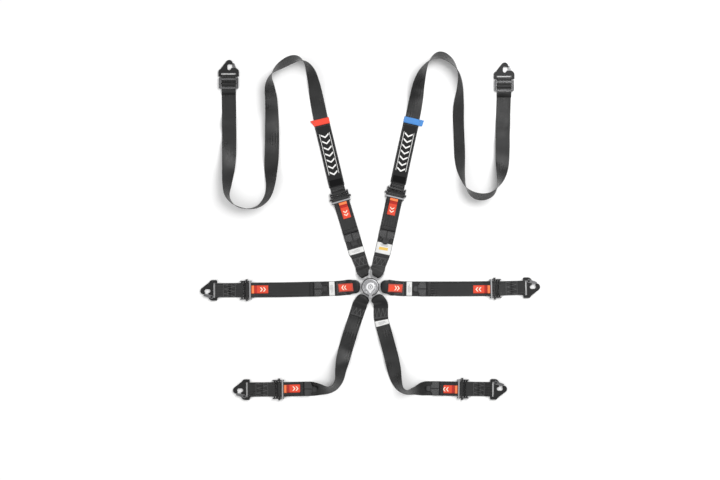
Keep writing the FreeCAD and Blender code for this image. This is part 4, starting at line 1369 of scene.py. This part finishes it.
def hook_end(hook):
    """Frames through the slide, over its middle bar, round the hook's bar and back the same way."""
    inner = -SLIDER_REACH - SLIDER_LENGTH
    lower = FLOOR_GAP + HOOK_THICK + LAYER_GAP + WEB / 2
    upper = lower + LAYER
    through = []
    for k in range(SLIDE_STEPS + 1):
        share = k / SLIDE_STEPS
        dip = SLIDE_DIP * math.sin(2 * math.pi * share) ** 2
        if 0.25 < share < 0.75:
            dip += SLIDE_HUMP * math.cos(2 * math.pi * share)
        through.append((inner + SLIDER_LENGTH * share, dip))
    points = [(inner - 4, lower)] + [(s, lower) for s, _ in through]
    points += turn_points(0, HOOK_BAR_HEIGHT, BAR_TURN + LAYER_GAP, -90, 90)
    points += [(s, upper - dip) for s, dip in through[::-1]]
    points += [(inner - 4, upper), (inner - 20, FLAT_Z + LAYER + 0.4)]
    return side_frames(hook, 90, points, W)


def long_stations(strap):
    """The outer strap's stations with width and lift, raised where its sleeve is."""
    return [(*place, W, SLEEVE_LIFT if i in SLEEVED else 0) for i, place in enumerate(LONG_ROUTES[strap])]


def long_strap(strap):
    """The long outer webbing, from a short overlap at the adjuster to the slide and the hook."""
    spec = STRAPS[strap]
    stations = long_stations(strap)
    calm = distances([place[:2] for place in stations])[SLEEVED.stop]
    low = route(stations, LONG_RIPPLE, (calm, CALM_END))
    turn = turn_points(0, BAR_HEIGHT, BAR_TURN, 90, 270)
    sewn = round(ROW_STEPS / CAD_STEPS)
    frames = raised(low[sewn : sewn + 1], LAYER)
    frames += side_frames(end_bar_point(spec), spec["adjuster"][2], turn, W)
    over = Strip([(item[0], item[1], W) for item in frames[1::-1]])
    rows = cross_rows(SEAM_HALF, over.length - 1.5, over.length - 5)
    outer_webbing(strap, "long_webbing", "long_strap", frames + low + hook_end(spec["hook"]), over, rows)


# ---- sleeves and colour loops
# Sleeves and loops cover CAD rows of the outer strap. A loop's ears are its extra width beyond the sleeve,
# left and right, at its inner and outer end.

SLEEVE_ROWS = (3, 9)
LOOP_ROWS = (9, 11)
LOOP_EARS = {"shoulder_left": ((0.5, 1), (11, 1)), "shoulder_right": ((1, 12), (1, 14))}
SLEEVE_WIDTH = 54.6
SLEEVE_THICK = 4.2
SLEEVE_BORE = (51.2, 2.2)
SLEEVE_GAP = 0.3
SLEEVE_SUNK = -0.22
PRINT_MARKS = 7
PRINT_START = 56
PRINT_END = 32
PRINT_LINES = ((-18.5, -17), (17, 18.5))


def covered(strap, cad_rows):
    """Frames of the outer strap between two CAD rows, less a small gap at the start."""
    first, last = (round(ROW_STEPS * row / CAD_STEPS) for row in cad_rows)
    frames = route(long_stations(strap))[first : last + 1]
    middle, across, width = frames[0]
    ahead = (frames[1][0] - middle).normalized()
    return [(middle + ahead * SLEEVE_GAP, across, width)] + frames[1:]


def around(strap, made, length, extras, node):
    """Lets a flat tube round the outer strap ride on the adjuster with its extras, and hides the CAD node it
    stands for. Its flat size, twice its own width, is not used.
    """
    flat = (2 * (SLEEVE_WIDTH + SLEEVE_THICK), length)
    laid(made, flat, extras, node, f"{strap}_adjuster")


def sleeve_print(length):
    """A row of arrowheads pointing to the buckle, between two thin lines."""
    first, last = PRINT_START, length - PRINT_END
    shapes = []
    for k in range(PRINT_MARKS):
        shapes += arrowhead(first + (last - first) * k / (PRINT_MARKS - 1), 14, -10, -5.5)
    return shapes + [box(first - 12, last + 2, near, far) for near, far in PRINT_LINES]


def sleeve(strap):
    """The cloth sleeve round the webbing: hems, a plain print and a closing band."""
    frames = covered(strap, SLEEVE_ROWS)
    outer, inner = section(SLEEVE_WIDTH, SLEEVE_THICK, 0.25), section(*SLEEVE_BORE, 0.0)
    rows = len(frames)
    made = tube(f"{strap}_sleeve_cover", frames, [outer] * rows, [inner] * rows, "sleeve")
    top = Strip(frames, SLEEVE_THICK)
    end = top.length
    half = SLEEVE_WIDTH / 2
    printed = decals(f"{strap}_sleeve_print", top, sleeve_print(end), "print", SLEEVE_SUNK, 0.14)
    hems = cross_rows(half - 4, 4, end - 4)
    hems += [[(4, u), (end - 4, u)] for u in (3.6 - half, half - 3.6)]
    seams = seam(f"{strap}_sleeve_seams", top, hems, "thread", SLEEVE_SUNK)
    band = patch(f"{strap}_closing_band", top, (3, 25), (5 - half, half - 4), "velvet", 0.9, SLEEVE_SUNK)
    around(strap, made, end, [printed, seams, band], f"{strap}_sleeve")


def colour_loop(strap):
    """The coloured loop next to the sleeve, with its pointed ears."""
    rows = covered(strap, LOOP_ROWS)
    (l0, r0), (l1, r1) = LOOP_EARS[strap]
    frames, outer, inner = [], [], []
    for k, (middle, across, _) in enumerate(rows):
        t = k / (len(rows) - 1)
        left, right = l0 + (l1 - l0) * t, r0 + (r1 - r0) * t
        shift = (right - left) / 2
        frames.append((middle + across * shift, across, W))
        outer.append(section(SLEEVE_WIDTH + left + right, SLEEVE_THICK, 0.0))
        inner.append([(u - shift, h) for u, h in section(*SLEEVE_BORE, 0.0)])
    side, colour = (-1, "loop_red") if strap == "shoulder_left" else (1, "loop_blue")
    made = tube(f"{strap}_loop", frames, outer, inner, colour)
    top = Strip(frames, SLEEVE_THICK)
    rows = [[(s, side * 20), (s, side * 25)] for s in (top.length * 0.3, top.length * 0.7)]
    around(strap, made, top.length, [seam(f"{strap}_loop_seam", top, rows)], f"{strap}_colour_loop")


# ---- stage, in metres


VIEW_MIDDLE = (-0.036, 0.1635)
VIEW_WIDTH = 2.52
CAMERA_HEIGHT = 5.0
SENSOR = 36.0
FLOOR_REACH = 8.0
WORLD_STRENGTH = 0.64
LIGHTS = {"key": ((1.5, 1.5, 2.6), 2.3, 76), "fill": ((-1.9, -0.8, 2.2), 1.6, 16)}
LIGHT_AIM = (0, 0.15, 0)


def camera():
    data = bpy.data.cameras.new("camera")
    data.sensor_width = SENSOR
    data.lens = SENSOR * CAMERA_HEIGHT / VIEW_WIDTH
    bpy.context.scene.camera = placed("camera", data, (*VIEW_MIDDLE, CAMERA_HEIGHT))


def area_light(name, place, size, power):
    """A square light, size in metres and power in watts, that looks at the harness."""
    data = bpy.data.lights.new(name, "AREA")
    data.energy = power
    data.size = size
    thing = placed(name, data, place)
    thing.rotation_mode = "QUATERNION"
    thing.rotation_quaternion = (Vector(LIGHT_AIM) - Vector(place)).to_track_quat("-Z", "Y")


def studio():
    """Camera, white floor, even white world and two lights."""
    camera()
    points = [Vector((x, y, 0)) * FLOOR_REACH / MM for x, y in box(-1, 1, -1, 1)]
    piece("floor", points, [(0, 1, 2, 3)], [(0, 0)] * 4, "floor")
    world = bpy.data.worlds.new("world")
    world.use_nodes = True
    world.node_tree.nodes["Background"].inputs["Color"].default_value = (1, 1, 1, 1)
    world.node_tree.nodes["Background"].inputs["Strength"].default_value = WORLD_STRENGTH
    bpy.context.scene.world = world
    bpy.context.scene.view_settings.view_transform = "Standard"
    for name, (place, size, power) in LIGHTS.items():
        area_light(name, place, size, power)


# ---- making it


def make():
    studio()
    dress_nodes()
    knob()
    for strap in STRAPS:
        low = low_frames(strap)
        strap_webbing(strap, low)
        strap_tail(strap, low)
        overlap_seams(strap, low)
        if strap in LABELS:
            label(strap, low)
        if strap in TAGS:
            tag(strap, low)
        if strap in LONG_ROUTES:
            long_strap(strap)
            sleeve(strap)
            colour_loop(strap)
        else:
            anchor_strap(strap)
            boot(strap, low)


make()
